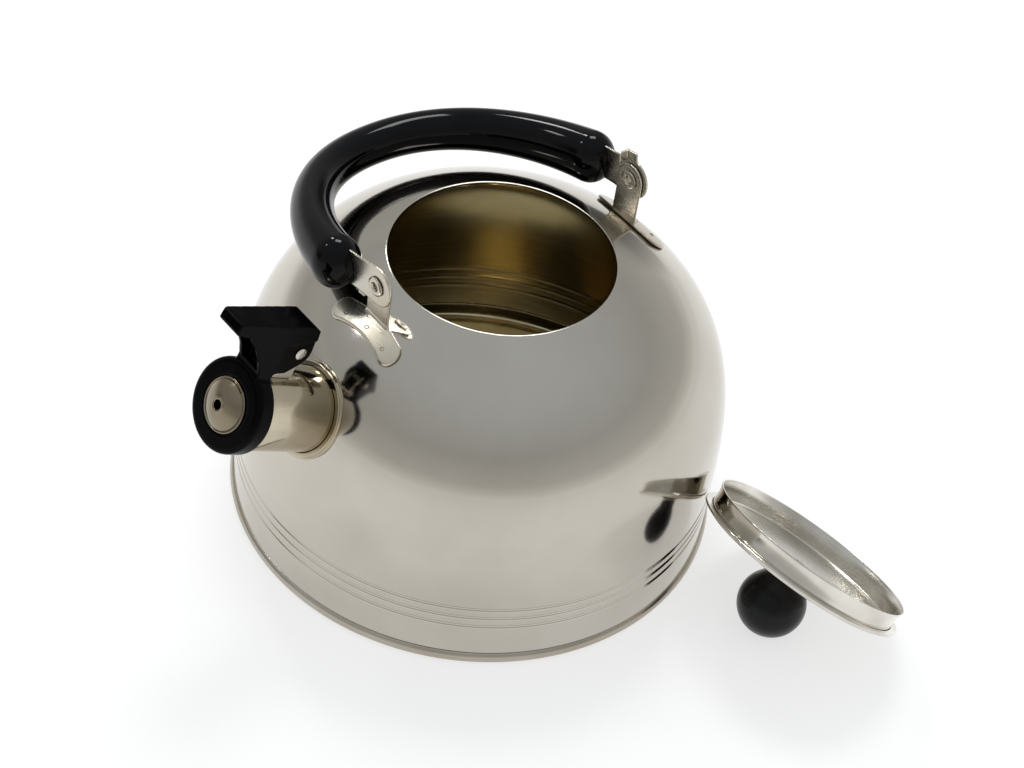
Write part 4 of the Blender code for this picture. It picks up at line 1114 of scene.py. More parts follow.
def hollowed(lever, spout, cap, place):
    """Hollow the lever, cut its cheeks back under the pin's heads and open its socket."""
    tube = spout.tube_radius
    wall = 0.0019
    pocket_half = 0.0048
    scoop_half = spout.lever_front_half - wall * 0.6
    web_back = cap.rear + 0.0024
    roof = cap.under + 0.0006
    low = (0.0, -pocket_half, cap.back - 0.004)
    lever = combine(lever, block("pocket", low, (roof, pocket_half, web_back), place))
    low = (tube + 0.0030, -scoop_half, web_back + wall)
    lever = combine(lever, block("scoop", low, (cap.under, scoop_half, cap.tip - 0.006), place))
    cheek = [
        (cap.back - 0.002, roof),
        (cap.along + 0.0080, cap.under - 0.0036),
        (cap.along + 0.0070, tube + 0.001),
        (cap.back - 0.002, tube + 0.001),
    ]

    def in_cheek(u, v, depth):
        return place @ Vector((v, depth, u))

    for side in (-1.0, 1.0):
        near, far = sorted((side * cheek_half(spout, cap), side * 0.02))
        lever = combine(lever, extruded("cheek", cheek, in_cheek, near, far))
    socket = rod("socket", tube + 0.0003, cap.rear - 0.012, cap.socket_end, TUBE_SIDES, place)
    return combine(lever, socket)


def build_lever():
    """Moulded lever of the whistle cap, in one piece with its collar."""
    body, spout = settings().body, settings().spout
    place = spout_matrix(body, spout)
    cap = cap_plan(spout)

    def in_lever(u, v, side):
        return place @ Vector((v, side * half_width(spout, cap, u), u))

    outline = filleted(lever_outline(spout, cap), 6)
    edges = zip(outline, outline[1:] + outline[:1])
    longest = 0.004
    dense = [point for edge in edges for point in even_steps(edge, longest)[:-1]]
    lever = extruded("whistle_lever", dense, in_lever, -1.0, 1.0)
    collar = [
        (spout.whistle_radius + GAP, cap.rear),
        (spout.collar_radius, cap.rear, 0.0008),
        (spout.collar_radius, cap.front, 0.0022),
        (spout.whistle_radius + GAP, cap.front, 0.0004),
    ]
    collar = turn("collar", filleted(collar, 8), None, TUBE_SIDES, place)
    lever = hollowed(combine(lever, collar, "UNION"), spout, cap, place)
    lever = softened(lever, "plastic", voxel=0.00027, passes=13)
    lever = combine(lever, bore_cutter(spout.pin_radius, pin_matrix(body, spout, cap)))
    seat(lever, "whistle_cap", "black_moulded_plastic", "cap_lever")


def build_whistle():
    """Domed disc with the whistle's hole, and the finish of the flat disc behind it."""
    body, spout = settings().body, settings().spout
    cap = cap_plan(spout)
    whistle, hole, front = spout.whistle_radius, spout.whistle_hole, cap.front
    crest = front + spout.whistle_rise
    sheet = 0.0006
    seat_back = cap.socket_end - GAP

    def dome(radius, lift):
        return radius, front + lift + spout.whistle_rise * (1.0 - (radius / whistle) ** 2)

    radii = [whistle * (1.0 - 0.055 * step) for step in range(14)]
    outline = [
        (whistle, seat_back),
        (whistle, front + 0.0004, 0.0003),
        (whistle - 0.0005, front + 0.0006, 0.0003),
        (whistle - 0.0010, front + 0.0001, 0.0003),
    ]
    outline += [dome(radius, 0.0) for radius in radii[2:]]
    outline += [
        (hole + 0.0007, crest + 0.00025, 0.0003),
        (hole, crest + 0.0001, 0.0003),
        (hole, crest - sheet - 0.0004),
    ]
    outline += [dome(radius, -sheet) for radius in radii[:1:-2]]
    outline += [
        (whistle - sheet, front - 0.0004),
        (whistle - sheet, seat_back - sheet),
        (whistle + 0.0018, seat_back - sheet),
        (whistle + 0.0018, seat_back),
    ]
    place = spout_matrix(body, spout)
    # Both discs take the whistle steel, whose dark colour is a painted reflection.
    disc = turn("whistle_domed_disc", filleted(outline), MATERIALS["whistle"], DISC_SIDES, place)
    seat(disc, "whistle_cap", "drawn_stainless_steel", "whistle_dome")
    dress("whistle_disc", "whistle")


def build_hinge_pin():
    """Pin of the whistle cap, with a head at each end."""
    body, spout = settings().body, settings().spout
    cap = cap_plan(spout)
    shank = cheek_half(spout, cap) + GAP
    head = spout.pin_head
    half = [
        (0.0, shank + 0.0009),
        (head * 0.55, shank + 0.0008, 0.0006),
        (head, shank + 0.0003, 0.0003),
        (head, shank, 0.0001),
        (spout.pin_radius, shank),
    ]
    outline = filleted(half + [(point[0], -point[1], *point[2:]) for point in half[::-1]])
    place = pin_matrix(body, spout, cap)
    pin = turn("hinge_pin_rivet", outline, MATERIALS["bracket"], SHANK_SIDES, place)
    seat(pin, "kettle", "stamped_stainless_steel", "hinge_pin")


def build_spring():
    """Torsion spring: four turns and a quarter round the pin, with a leg at each end."""
    body, spout = settings().body, settings().spout
    cap = cap_plan(spout)
    per_turn = 24
    steps = 4 * per_turn + per_turn // 4
    width = steps * spout.spring_pitch / per_turn
    radius = spout.spring_radius
    coil = []
    for step in range(steps + 1):
        around = math.pi / 2 + FULL_TURN * step / per_turn
        offset = -width / 2 + width * step / steps
        coil.append(Vector((-radius * math.cos(around), offset, -radius * math.sin(around))))
    shelf = cap.high - (spout.tube_radius + 2 * GAP + 0.0012 + spout.spring_wire / 2)
    rise = spout.lever_height + spout.lever_slope - spout.lever_plate - GAP - spout.spring_wire
    foot = Vector((-shelf, coil[0].y, coil[0].z - 0.0003))
    end = Vector((rise, coil[-1].y, radius * 2.4))
    route = [foot, foot.lerp(coil[0], 0.6)] + coil
    route += [coil[-1].lerp(end, 0.35) - Vector((0.0006, 0.0, 0.0)), end]
    curve = bpy.data.curves.new("whistle_spring", "CURVE")
    curve.dimensions = "3D"
    line = curve.splines.new("POLY")
    line.points.add(len(route) - 1)
    hinge = hinge_matrix(body, spout, cap)
    for point, spot in zip(line.points, route):
        point.co = (*(hinge @ spot), 1.0)
    wire = run_tree(
        link_piece("whistle_spring", curve),
        wire_tree,
        {"Wire Radius": spout.spring_wire / 2, "Material": MATERIALS["spring"]},
    )
    seat(smooth(wire), "kettle", "spring_wire", "cap_spring")


# Brackets and rivets


def swing_height(body, handle):
    return crown_height_at(body, handle.ear_radius + handle.ear_sheet / 2) + handle.ear_rise


def foot_span(handle, sideways):
    """Inner and outer edge of the bracket's foot at a place along it."""
    inner = handle.ear_radius
    lobe_u = inner + handle.foot_reach - handle.foot_lobe + 0.0006
    lobe_v = handle.foot_half - handle.foot_lobe
    outline = [(inner, handle.ear_width / 2)]
    outline += arc((lobe_u, lobe_v), handle.foot_lobe, math.radians(165), math.radians(-30), 40)
    outline += [
        (inner + handle.foot_depth + 0.0006, handle.foot_half * 0.36),
        (inner + handle.foot_depth, 0.0),
        (inner, 0.0),
    ]
    crossings = []
    place = min(abs(sideways), handle.foot_half - 0.00002)
    for first, second in zip(outline, outline[1:] + outline[:1]):
        if (first[1] - place) * (second[1] - place) <= 0.0 and first[1] != second[1]:
            share = (place - first[1]) / (second[1] - first[1])
            crossings.append(first[0] + (second[0] - first[0]) * share)
    return min(crossings), max(crossings)


def bracket_foot(side, body, handle):
    """Sheet foot that follows the crown, as a closed body."""
    rows = 84
    columns = 14
    upper, lower = [], []
    for row in range(rows + 1):
        sideways = handle.foot_half * math.sin(math.pi / 2 * (2.0 * row / rows - 1.0))
        near, far = foot_span(handle, sideways)
        for column in range(columns + 1):
            out = near + (far - near) * column / columns
            radius = math.hypot(side * out + handle.offset, sideways)
            lean = math.atan2(crown_fall(body, radius), FALL_SPAN)
            for sheet, layer in ((GAP, lower), (GAP + handle.foot_sheet, upper)):
                height = crown_height_at(body, radius) + sheet / math.cos(lean)
                layer.append((side * out + handle.offset, sideways, height))
    width = columns + 1
    count = len(upper)
    faces = []
    for row in range(rows):
        for column in range(columns):
            a = row * width + column
            quad = (a, a + 1, a + width + 1, a + width)
            faces += [quad, tuple(index + count for index in quad[::-1])]
    edge = list(range(width))
    edge += [row * width + columns for row in range(1, rows + 1)]
    edge += [rows * width + column for column in range(columns - 1, -1, -1)]
    edge += [row * width for row in range(rows - 1, 0, -1)]
    for a, b in zip(edge, edge[1:] + edge[:1]):
        faces.append((a, b, b + count, a + count))
    return mesh_piece("foot", upper + lower, faces)


def bracket_ear(side, body, handle):
    """Upright ear of a bracket, and the rounded bend between it and the foot."""
    height = swing_height(body, handle)
    low = crown_height_at(body, handle.ear_radius) + GAP + 0.0004
    half = handle.ear_width / 2
    straight = height - handle.ear_rise * 0.45
    start = handle.ear_radius
    thick = start + handle.ear_sheet
    outline = [(half, low), (half, straight)]
    outline += arc((0.0, height), handle.ear_top, 0.0, math.pi, 40)
    outline += [(-half, straight), (-half, low)]
    bend_radius = 0.0022
    bend_top = low + 0.0026
    bend = [(start, low), (start, bend_top)]
    bend += arc((thick + bend_radius, bend_top), bend_radius, math.pi, 1.5 * math.pi, 8)
    bend += [(thick + 0.0024, low - 0.0008)]

    def in_ear(u, v, depth):
        return side * depth + handle.offset, u, v

    def in_bend(u, v, depth):
        return side * u + handle.offset, depth, v

    ear = extruded("ear", outline, in_ear, start, thick)
    return ear, extruded("corner", bend, in_bend, -half, half)


def build_brackets():
    """Both brackets that carry the handle."""
    body, handle = settings().body, settings().handle
    axle = Matrix.Translation((0.0, 0.0, swing_height(body, handle)))
    axle = axle @ Matrix.Rotation(math.pi / 2, 4, "Y")
    for side, label in ENDS:
        foot = bracket_foot(side, body, handle)
        bracket = joined("handle_bracket_" + label, foot, *bracket_ear(side, body, handle))
        bracket = softened(bracket, "bracket", voxel=0.00023, passes=34)
        bracket = combine(bracket, bore_cutter(handle.rivet_radius, axle))
        seat(bracket, "kettle", "stamped_stainless_steel", "bracket_" + label)


def build_weld_marks():
    """Three small dimples in each bracket's foot, where it is spot welded to the crown."""
    body, handle = settings().body, settings().handle
    marks = []
    for side, _ in ENDS:
        for sideways, out in WELD_SPOTS:
            x = side * (handle.ear_radius + out) + handle.offset
            radius = math.hypot(x, sideways)
            slope = crown_fall(body, radius) / FALL_SPAN
            facing = Vector((x / radius * slope, sideways / radius * slope, 1.0)).normalized()
            spot = Vector((x, sideways, crown_height_at(body, radius)))
            marks.append((spot + facing * (GAP + handle.foot_sheet - 0.0001), facing))
    outline = [
        (0.0, -0.0004),
        (0.0010, -0.0004),
        (0.0010, 0.0003, 0.0002),
        (0.0007, 0.0003, 0.0002),
        (0.0005, -0.0002, 0.0001),
        (0.0, -0.0002),
    ]
    dimple = turn("weld_mark_shape", filleted(outline), None, WELD_SIDES)
    # The dimples take the dark spring steel: painted shade for the shadow inside each pit.
    welds = copies("bracket_weld_marks", marks, dimple, MATERIALS["spring"])
    seat(welds, "kettle", "stamped_stainless_steel")


def build_rivets():
    """Hollow rivets that the handle turns on, rolled over at both ends."""
    body, handle = settings().body, settings().handle
    inner = handle.ear_radius - GAP
    outer = handle.ear_radius + handle.ear_sheet + GAP + handle.strap_sheet + GAP
    head, bore = handle.rivet_head, handle.rivet_bore
    rise = handle.rivet_rise

    def rolled(level, way):
        return [
            (handle.rivet_radius, level),
            (head, level, 0.0002),
            (head, level + way * rise * 0.55, 0.0005),
            (head - 0.0009, level + way * rise, 0.0005),
            (bore + 0.0006, level + way * rise, 0.0005),
            (bore, level + way * rise * 0.3, 0.0004),
        ]

    outline = filleted(rolled(outer, 1.0) + rolled(inner, -1.0)[::-1])
    shape = turn("rivet_shape", outline, None, SHANK_SIDES)
    place = Vector((handle.offset, 0.0, swing_height(body, handle)))
    spots = [(place, Vector((side, 0.0, 0.0))) for side, _ in ENDS]
    rivets = copies("handle_rivets", spots, shape, MATERIALS["bracket"])
    seat(rivets, "kettle", "stamped_stainless_steel", "rivet_front", "rivet_rear")


# Handle


def swing_matrix(body, handle):
    """Place of the handle: its origin on the rivets' axis, its Z towards the arch."""
    place = Matrix.Translation((0.0, 0.0, swing_height(body, handle)))
    return place @ Matrix.Rotation(-handle.fold, 4, "X")


def strap_face(handle):
    """Distance of a strap's inner face from the middle."""
    return handle.ear_radius + handle.ear_sheet + GAP


def front_strap(handle):
    """Outline of the front strap's round end, and its stop tab that rests on the ear's edge."""
    half = handle.strap_half
    past = handle.fold - math.pi / 2
    outer = half + 0.0008 + handle.strap_sheet
    low = (handle.ear_width / 2 + GAP + outer * math.sin(past)) / math.cos(past)
    tab = [(half - 0.0004, low), (outer, low), (outer, low + 0.004), (half - 0.0004, low + 0.004)]
    return arc((0.0, 0.0), handle.strap_end, math.pi, FULL_TURN, 40), tab


def rear_strap(handle):
    """Outline of the rear strap's end with its shoulder, and the stop tab bent from that."""
    half = handle.strap_half
    notch = math.asin(0.0025 / handle.strap_end)
    outline = arc((0.0, 0.0), handle.strap_end, math.pi, FULL_TURN - notch, 40)
    outline += [(0.0120, -0.0025), (0.0128, -0.0016), (0.0128, 0.0045), (half + 0.0006, 0.0045)]
    near, far, low, high = half + 0.0003, 0.0127, 0.0033, 0.0044
    return outline, [(near, low), (far, low), (far, high), (near, high)]


def build_straps():
    """Steel straps that join the grip to its rivets."""
    body, handle = settings().body, settings().handle
    place = swing_matrix(body, handle)
    axle = place @ Matrix.Rotation(math.pi / 2, 4, "Y")
    face = strap_face(handle)
    half, sheet, end = handle.strap_half, handle.strap_sheet, handle.strap_length
    start = handle.start * 0.8
    tail = [(half, start), (half, end), (-half, end), (-half, start)]
    for (side, label), (outline, tab_outline) in zip(ENDS, (front_strap(handle), rear_strap(handle))):

        def in_strap(u, v, depth):
            return place @ Vector((side * depth + handle.offset, -side * u, v))

        plate = extruded("strap", outline + tail, in_strap, face, face + sheet)
        tab = extruded("tab", tab_outline, in_strap, face - 0.0045, face + sheet * 0.8)
        strap = joined("handle_strap_" + label, plate, tab)
        strap = softened(strap, "bracket", voxel=0.00022, passes=12)
        strap = combine(strap, bore_cutter(handle.rivet_radius, axle))
        seat(strap, "handle", "stamped_stainless_steel", "strap_" + label)


def build_grip():
    """Moulded grip swept along the arch, thick at its ends, with a slot for each strap."""
    body, handle = settings().body, settings().handle
    place = swing_matrix(body, handle)
    fine_steps, stations, sides, closing_rings = 3000, 180, 64, 18
    nudge = 0.0004
    start = math.asin((handle.start / handle.rise) ** (handle.fullness / 2.0))
    line = []
    for t in np.linspace(start, math.pi - start, fine_steps):
        across = abs(math.cos(t)) ** (2.0 / handle.fullness)
        rise = math.sin(t) ** (2.0 / handle.fullness)
        line.append((-math.copysign(across, math.cos(t)) * handle.half_span, 0.0, rise * handle.rise))
    line = np.array(line)
    run = np.concatenate(([0.0], np.cumsum(np.linalg.norm(np.diff(line, axis=0), axis=1))))
    total = run[-1]

    def spot_at(distance):
        return Vector([float(np.interp(distance, run, line[:, axis])) for axis in range(3)])

    def ring_at(distance):
        depth = min(distance, total - distance) / handle.rounding
        size = (1.0 - max(1.0 - depth, 0.0) ** 2.2) ** 0.5
        ahead = spot_at(min(distance + nudge, total))
        behind = spot_at(max(distance - nudge, 0.0))
        along = (ahead - behind).normalized()
        normal = Vector((along.z, 0.0, -along.x))
        middle = math.sin(math.pi * min(max(distance / total, 0.0), 1.0)) ** 0.8
        thick = handle.end_thickness + (handle.middle_thickness - handle.end_thickness) * middle
        wide = handle.end_width + (handle.middle_width - handle.end_width) * middle
        ring = []
        for step in range(sides):
            around = FULL_TURN * step / sides
            offset = normal * (math.cos(around) * thick / 2 * size)
            offset += Vector((0.0, math.sin(around) * wide / 2 * size, 0.0))
            ring.append(place @ (spot_at(distance) + offset))
        return ring

    inner = np.linspace(handle.rounding, total - handle.rounding, stations)
    # Rings draw closer together towards each end, where the grip rounds off.
    turns = np.linspace(0.06, math.pi / 2, closing_rings)
    closing = [handle.rounding * (1.0 - math.cos(t)) for t in turns]
    places = closing[:-1] + list(inner) + [total - spot for spot in closing[:-1]][::-1]
    rings = [ring_at(distance) for distance in places]
    grip = through_rings("handle_grip_moulded", rings, MATERIALS["grip"])
    face = strap_face(handle)
    half = handle.strap_half + GAP
    for side, _ in ENDS:
        walls = (face - GAP, face + handle.strap_sheet + GAP)
        near, far = sorted(side * wall + handle.offset for wall in walls)
        slot = block("slot", (near, -half, 0.0), (far, half, handle.strap_length + GAP), place)
        grip = combine(grip, slot)
    seat(grip, "handle", "black_bakelite", "handle_grip")


# Lid


def lid_plan(body, lid):
    """Place of the lid, with Z towards its knob, and the measures that its pieces share."""
    place = Matrix.Translation(LID_SEAT) @ Matrix.Rotation(LID_HEADING, 4, "Z")
    skirt = body.mouth_radius - lid.mouth_clearance
    plate_low = lid.rise + GAP
    plate_high = plate_low + lid.plate_sheet
    foot = plate_high + GAP
    return SimpleNamespace(
        place=place @ Matrix.Rotation(math.pi + LID_LEAN, 4, "Y"),
        skirt=skirt,
        waist=skirt - lid.waist,
        hole=lid.screw_radius + GAP,
        plate_low=plate_low,
        plate_high=plate_high,
        foot=foot,
        screw_end=foot + lid.screw_depth,
    )


def build_lid_pan():
    """Inner pan of the lid, with the skirt that fits the mouth."""
    body, lid = settings().body, settings().lid
    plan = lid_plan(body, lid)
    waist, skirt, sheet, floor = plan.waist, plan.skirt, lid.sheet, lid.floor_rise
    curve = []
    for share in np.linspace(0.0, 1.0, 15):
        curve.append((waist + lid.waist * share**2.2, -lid.skirt * (0.30 + 0.62 * share)))
    outline = [
        (plan.hole, floor),
        (waist - sheet, floor, 0.0012),
        (waist - sheet, -lid.skirt * 0.28, 0.002),
    ]
    outline += [(radius - sheet, height) for radius, height in curve[1:]]
    outline += [
        (skirt - sheet + 0.0001, -lid.skirt + 0.0001, 0.0002),
        (skirt, -lid.skirt, 0.0002),
        *curve[::-1],
        (waist, floor + sheet, 0.0012),
        (plan.hole, floor + sheet),
    ]
    pan = turn("lid_inner_pan", filleted(outline, 6), MATERIALS["lid"], LID_SIDES, plan.place)
    back = plan.place.inverted()

    def faces_in(face):
        spot = back @ face.center
        way = back.to_3x3() @ face.normal
        inward = way.x * spot.x + way.y * spot.y < 0.0
        return spot.z < floor + 0.0001 and (inward or way.z < -0.5)

    two_sided(pan, "lid", "lid_inside", faces_in)
    seat(pan, "lid", "polished_stainless_steel", "lid_pan")


def build_lid_cover():
    """Outer skin of the lid, gently domed, with its rolled rim."""
    body, lid = settings().body, settings().lid
    plan = lid_plan(body, lid)
    hole, waist, sheet = plan.hole, plan.waist, lid.sheet
    rim = body.mouth_radius + lid.rim_overhang - 0.00006
    bead = sheet
    step = lid.floor_rise + sheet + GAP
    bend = 0.02
    outline = [
        (hole, lid.rise - sheet),
        (waist * 0.55, lid.rise - sheet - 0.0005, bend),
        (waist - 0.0020, step + 0.0003, 0.004),
        (waist + GAP, step, 0.0005),
        (waist + GAP, 0.0, 0.0003),
    ]
    outline += arc((rim - bead, bead), bead, -math.pi / 2, math.pi / 2, 14)
    outline += [
        (waist + GAP + 0.0009, bead * 2 + 0.0001, 0.0006),
        (waist + GAP + 0.0002, step + sheet - 0.0003, 0.0012),
        (waist - 0.0018, step + sheet + 0.0003, 0.004),
        (waist * 0.55, lid.rise - 0.0005, bend),
        (lid.plate_radius, lid.rise),
        (hole, lid.rise),
    ]
    cover = turn("lid_polished_cover", filleted(outline, 6), MATERIALS["lid"], LID_SIDES, plan.place)
    seat(cover, "lid", "polished_stainless_steel", "lid_cover")


def build_knob():
    """Ball knob and the washer plate under it."""
    lid = settings().lid
    plan = lid_plan(settings().body, lid)
    hole, low, high, foot = plan.hole, plan.plate_low, plan.plate_high, plan.foot
    outline = [
        (hole, low),
        (lid.plate_radius, low, 0.0002),
        (lid.plate_radius - 0.0006, high, 0.0004),
        (hole, high),
    ]
    steel = MATERIALS["bracket"]
    plate = turn("knob_washer_plate", filleted(outline), steel, PLATE_SIDES, plan.place)
    seat(plate, "lid", "stamped_stainless_steel", "knob_plate")
    start = math.asin(lid.knob_foot / lid.knob_radius) - math.pi / 2 + 0.05
    outline = [(hole, foot), (lid.knob_foot, foot, 0.0006)]
    outline += arc((0.0, lid.knob_height), lid.knob_radius, start, math.pi / 2, 64)[:-1]
    outline += [
        (0.0, lid.knob_height + lid.knob_radius),
        (0.0, plan.screw_end + GAP),
        (hole, plan.screw_end + GAP),
    ]
    knob = turn("lid_ball_knob", filleted(outline), MATERIALS["knob"], DISC_SIDES, plan.place)
    seat(knob, "lid", "black_bakelite", "lid_knob")


def build_knob_screw():
    """Slotted screw that holds the knob from inside the lid."""
    lid = settings().lid
    plan = lid_plan(settings().body, lid)
    top = lid.floor_rise - GAP
    head, shank, end = lid.screw_head, lid.screw_radius, plan.screw_end
    outline = [
        (0.0, top - lid.screw_rise),
        (head * 0.6, top - lid.screw_rise * 0.92, 0.0015),
        (head, top - lid.screw_rise * 0.35, 0.0006),
        (head, top, 0.0001),
        (shank, top, 0.0001),
        (shank, end - 0.001),
        (shank * 0.5, end),
        (0.0, end),
    ]
    screw = turn(
        "knob_fixing_screw", filleted(outline), MATERIALS["bracket"], SHANK_SIDES, plan.place
    )
    reach, half, depth = 0.006, 0.0005, 0.0008
    high = (reach, half, top - lid.screw_rise + depth)
    slot = block("slot", (-reach, -half, top - 0.004), high, plan.place)
    seat(combine(screw, slot), "lid", "stamped_stainless_steel", "knob_screw")


# Studio

# Place of the camera, its own directions, and its lens and sensor in millimetres.
CAMERA_PLACE = (-0.4952, -0.5259, 0.7553)
CAMERA_RIGHT = (0.7831, -0.6114, 0.1133)
CAMERA_UP = (0.3644, 0.5988, 0.7132)
CAMERA_FORWARD = (0.5039, 0.5173, -0.6917)
CAMERA_LENS = 79.596
SENSOR_WIDTH = 36.0
# Name, place, width and depth in metres, and power in watts; every lamp faces LAMP_TARGET.
LAMPS = (
    ("back_softbox", (0.50, 0.52, 1.42), (0.55, 0.36), 8.0),
    ("window_back", (0.30, 1.12, 1.15), (0.16, 0.24), 3.0),
    ("window_left", (-0.505, 0.749, 1.015), (0.12, 0.12), 0.8),
)
LAMP_TARGET = Vector((0.0, 0.0, 0.08))
FLOOR_REACH = 6.0
# How dark the tent's back is, low down behind the kettle.
BACK_DARKNESS = 0.86


def build_camera():
    data = bpy.data.cameras.new("photo_camera")
    data.lens = CAMERA_LENS
    data.sensor_width = SENSOR_WIDTH
    data.clip_start = 0.01
    camera = link_piece("photo_camera", data)
    columns = (Vector(CAMERA_RIGHT), Vector(CAMERA_UP), -Vector(CAMERA_FORWARD))
    turned = Matrix([column.normalized() for column in columns]).transposed().to_4x4()
    camera.matrix_world = Matrix.Translation(CAMERA_PLACE) @ turned
    bpy.context.scene.camera = camera


def build_lamps():
    for name, place, size, power in LAMPS:
        data = bpy.data.lights.new(name, "AREA")
        data.shape = "RECTANGLE"
        data.size, data.size_y = size
        data.energy = power
        lamp = link_piece(name, data)
        lamp.location = place
        lamp.rotation_euler = (LAMP_TARGET - Vector(place)).to_track_quat("-Z", "Y").to_euler()


def build_floor():
    """Pale floor: seen directly or in metal it is near white and keeps the object's shadow."""
    material = bpy.data.materials.new("pale_floor")
    material.use_nodes = True
    tree = material.node_tree
    tree.nodes.clear()
    plain = add_node(tree, "ShaderNodeBsdfDiffuse", [("Color", tuple(settings().colours.floor))])
    soft = add_node(tree, "ShaderNodeBsdfDiffuse", [("Color", grey(0.42))])
    glow = add_node(tree, "ShaderNodeEmission", [("Color", grey(1.0)), ("Strength", 0.66)])
    seen = add_node(tree, "ShaderNodeAddShader", [(0, soft), (1, glow)])
    direct = 0.0
    rays = add_node(tree, "ShaderNodeLightPath").outputs
    for ray in ("Is Camera Ray", "Is Glossy Ray", "Is Transmission Ray"):
        direct = add_node(tree, "ShaderNodeMath", [(0, direct), (1, rays[ray])], operation="MAXIMUM")
    mixed = add_node(tree, "ShaderNodeMixShader", [(0, direct), (1, plain), (2, seen)])
    add_node(tree, "ShaderNodeOutputMaterial", [("Surface", mixed)])
    reach = FLOOR_REACH
    corners = [(-reach, -reach, 0.0), (reach, -reach, 0.0), (reach, reach, 0.0), (-reach, reach, 0.0)]
    mesh = bpy.data.meshes.new("studio_floor")
    mesh.from_pydata(corners, [], [(0, 1, 2, 3)])
    mesh.materials.append(material)
    link_piece("studio_floor", mesh)


def build_world():
    """Soft tent: near white at the horizon, greyer above it and a cool grey overhead.

    Behind the kettle and low down it is darker, most of all to the left and right.
    """
    scene = bpy.context.scene
    scene.world = scene.world or bpy.data.worlds.new("studio_tent")
    scene.world.use_nodes = True
    tree = scene.world.node_tree
    tree.nodes.clear()
    way = add_node(tree, "ShaderNodeTexCoord").outputs["Generated"]
    parts = add_node(tree, "ShaderNodeSeparateXYZ", [("Vector", way)]).outputs
    stops = [
        (0.0, (0.92, 0.92, 0.91, 1.0)),
        (0.06, (0.78, 0.78, 0.77, 1.0)),
        (0.18, (0.60, 0.60, 0.59, 1.0)),
        (0.50, (0.48, 0.49, 0.49, 1.0)),
        (0.92, (0.58, 0.61, 0.64, 1.0)),
    ]
    tent = add_node(tree, "ShaderNodeValToRGB", [("Fac", parts["Z"])], stops=stops)
    stops = [(0.26, grey(0.0)), (0.50, grey(BACK_DARKNESS))]
    behind = add_node(tree, "ShaderNodeValToRGB", [("Fac", parts["Y"])], stops=stops)
    stops = [(0.18, grey(1.0)), (0.42, grey(0.0))]
    near_floor = add_node(tree, "ShaderNodeValToRGB", [("Fac", parts["Z"])], stops=stops)
    sideways = add_node(tree, "ShaderNodeMath", [(0, parts["X"])], operation="ABSOLUTE")
    stops = [(0.50, grey(0.25)), (0.78, grey(1.0))]
    across = add_node(tree, "ShaderNodeValToRGB", [("Fac", sideways)], stops=stops)
    dark = add_node(tree, "ShaderNodeMath", [(0, behind), (1, near_floor)], operation="MULTIPLY")
    dark = add_node(tree, "ShaderNodeMath", [(0, dark), (1, across)], operation="MULTIPLY")
    left = add_node(tree, "ShaderNodeMath", [(0, 1.0), (1, dark)], operation="SUBTRACT")
    shaded = add_node(tree, "ShaderNodeVectorMath", [(0, tent), (1, left)], operation="MULTIPLY")
    light = add_node(tree, "ShaderNodeBackground", [("Color", shaded), ("Strength", 1.0)])
    add_node(tree, "ShaderNodeOutputWorld", [("Surface", light)])


# Add-on


class KETTLE_OT_shell(bpy.types.Operator):
    """Build the body's shell"""

    bl_idname = "kettle.shell"
    bl_label = "Body shell"

    def execute(self, context):
        build_shell()
        return {"FINISHED"}


class KETTLE_OT_base(bpy.types.Operator):
    """Build the base pan and the cap of its heat spreader"""

    bl_idname = "kettle.base"
    bl_label = "Base"

    def execute(self, context):
        build_base_pan()
        build_base_cap()
        return {"FINISHED"}


class KETTLE_OT_spout(bpy.types.Operator):
    """Build the spout and the ring at its root"""

    bl_idname = "kettle.spout"
    bl_label = "Spout"

    def execute(self, context):
        build_spout()
        build_spout_ring()
        return {"FINISHED"}


class KETTLE_OT_lever(bpy.types.Operator):
    """Build the lever and collar of the whistle cap"""

    bl_idname = "kettle.lever"
    bl_label = "Lever"

    def execute(self, context):
        build_lever()
        return {"FINISHED"}


class KETTLE_OT_whistle(bpy.types.Operator):
    """Build the whistle's domed disc"""

    bl_idname = "kettle.whistle"
    bl_label = "Whistle"

    def execute(self, context):
        build_whistle()
        return {"FINISHED"}


class KETTLE_OT_hinge(bpy.types.Operator):
    """Build the pin of the whistle cap and its spring"""

    bl_idname = "kettle.hinge"
    bl_label = "Pin and spring"

    def execute(self, context):
        build_hinge_pin()
        build_spring()
        return {"FINISHED"}


class KETTLE_OT_brackets(bpy.types.Operator):
    """Build both brackets and their weld marks"""

    bl_idname = "kettle.brackets"
    bl_label = "Brackets"

    def execute(self, context):
        build_brackets()
        build_weld_marks()
        return {"FINISHED"}


class KETTLE_OT_rivets(bpy.types.Operator):
    """Build the rivets that the handle turns on"""

    bl_idname = "kettle.rivets"
    bl_label = "Rivets"

    def execute(self, context):
        build_rivets()
        return {"FINISHED"}


class KETTLE_OT_straps(bpy.types.Operator):
    """Build the handle's two straps"""

    bl_idname = "kettle.straps"
    bl_label = "Straps"

    def execute(self, context):
        build_straps()
        return {"FINISHED"}


class KETTLE_OT_grip(bpy.types.Operator):
    """Build the handle's grip"""

    bl_idname = "kettle.grip"
    bl_label = "Grip"

    def execute(self, context):
        build_grip()
        return {"FINISHED"}


class KETTLE_OT_lid(bpy.types.Operator):
    """Build the lid's inner pan and its outer cover"""

    bl_idname = "kettle.lid"
    bl_label = "Lid"

    def execute(self, context):
        build_lid_pan()
        build_lid_cover()
        return {"FINISHED"}


class KETTLE_OT_knob(bpy.types.Operator):
    """Build the knob, its washer plate and its screw"""

    bl_idname = "kettle.knob"
    bl_label = "Knob"

    def execute(self, context):
        build_knob()
        build_knob_screw()
        return {"FINISHED"}


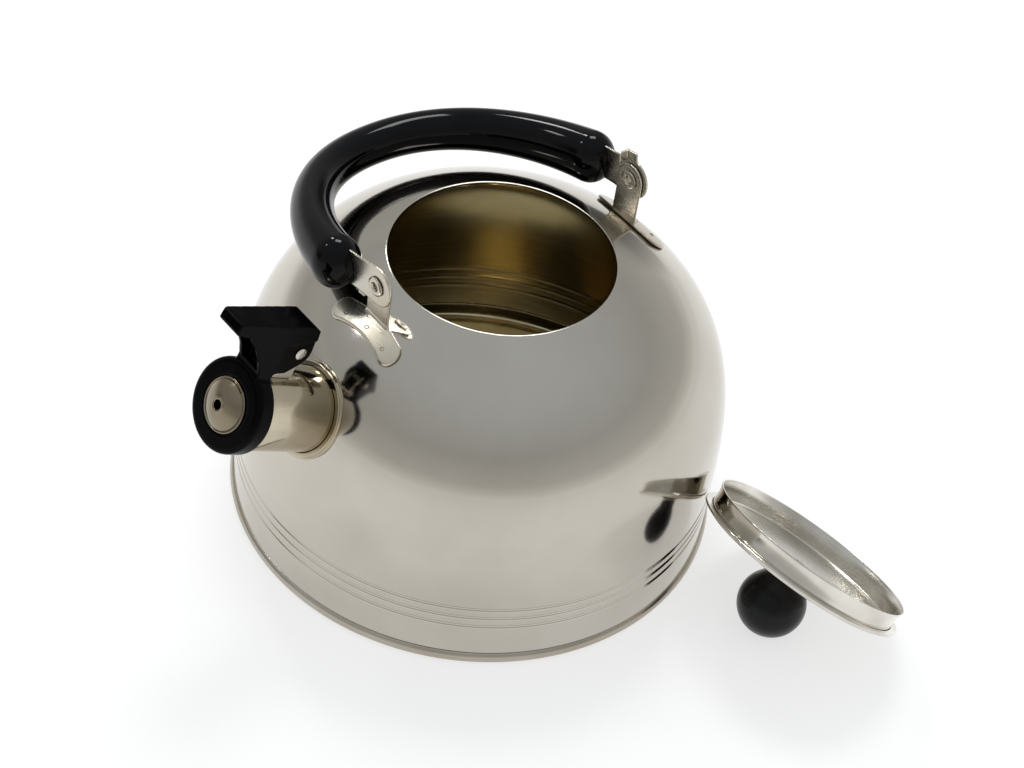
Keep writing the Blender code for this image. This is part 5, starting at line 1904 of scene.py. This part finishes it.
class KETTLE_OT_stage(bpy.types.Operator):
    """Build the camera, the floor and the lights"""

    bl_idname = "kettle.stage"
    bl_label = "Studio"

    def execute(self, context):
        build_camera()
        build_floor()
        build_world()
        build_lamps()
        context.scene.view_settings.view_transform = "Standard"
        return {"FINISHED"}


STEPS = [
    KETTLE_OT_shell,
    KETTLE_OT_base,
    KETTLE_OT_spout,
    KETTLE_OT_lever,
    KETTLE_OT_whistle,
    KETTLE_OT_hinge,
    KETTLE_OT_brackets,
    KETTLE_OT_rivets,
    KETTLE_OT_straps,
    KETTLE_OT_grip,
    KETTLE_OT_lid,
    KETTLE_OT_knob,
    KETTLE_OT_stage,
]


class VIEW3D_PT_kettle(bpy.types.Panel):
    """Lists the building steps and the sizes and colours they use"""

    bl_label = "Whistling kettle"
    bl_idname = "VIEW3D_PT_kettle"
    bl_space_type = "VIEW_3D"
    bl_region_type = "UI"
    bl_category = "Kettle"

    def draw(self, context):
        for step in STEPS:
            self.layout.operator(step.bl_idname)
        for name in ("body", "spout", "handle", "lid", "colours"):
            group = getattr(context.scene.kettle, name)
            box = self.layout.box()
            box.label(text=name.capitalize())
            for item in group.bl_rna.properties:
                if not item.is_readonly and item.identifier != "name":
                    box.prop(group, item.identifier)


CLASSES = [
    KettleBodySizes,
    KettleSpoutSizes,
    KettleHandleSizes,
    KettleLidSizes,
    KettleColours,
    KettleSettings,
    *STEPS,
    VIEW3D_PT_kettle,
]


def register():
    for item in CLASSES:
        bpy.utils.register_class(item)
    bpy.types.Scene.kettle = bpy.props.PointerProperty(type=KettleSettings)


def unregister():
    del bpy.types.Scene.kettle
    for item in reversed(CLASSES):
        bpy.utils.unregister_class(item)


def main():
    register()
    make_materials()
    bpy.ops.kettle.shell()
    bpy.ops.kettle.base()
    bpy.ops.kettle.spout()
    bpy.ops.kettle.lever()
    bpy.ops.kettle.whistle()
    bpy.ops.kettle.hinge()
    bpy.ops.kettle.brackets()
    bpy.ops.kettle.rivets()
    bpy.ops.kettle.straps()
    bpy.ops.kettle.grip()
    bpy.ops.kettle.lid()
    bpy.ops.kettle.knob()
    bpy.ops.kettle.stage()
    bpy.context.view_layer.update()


if __name__ == "__main__":
    main()
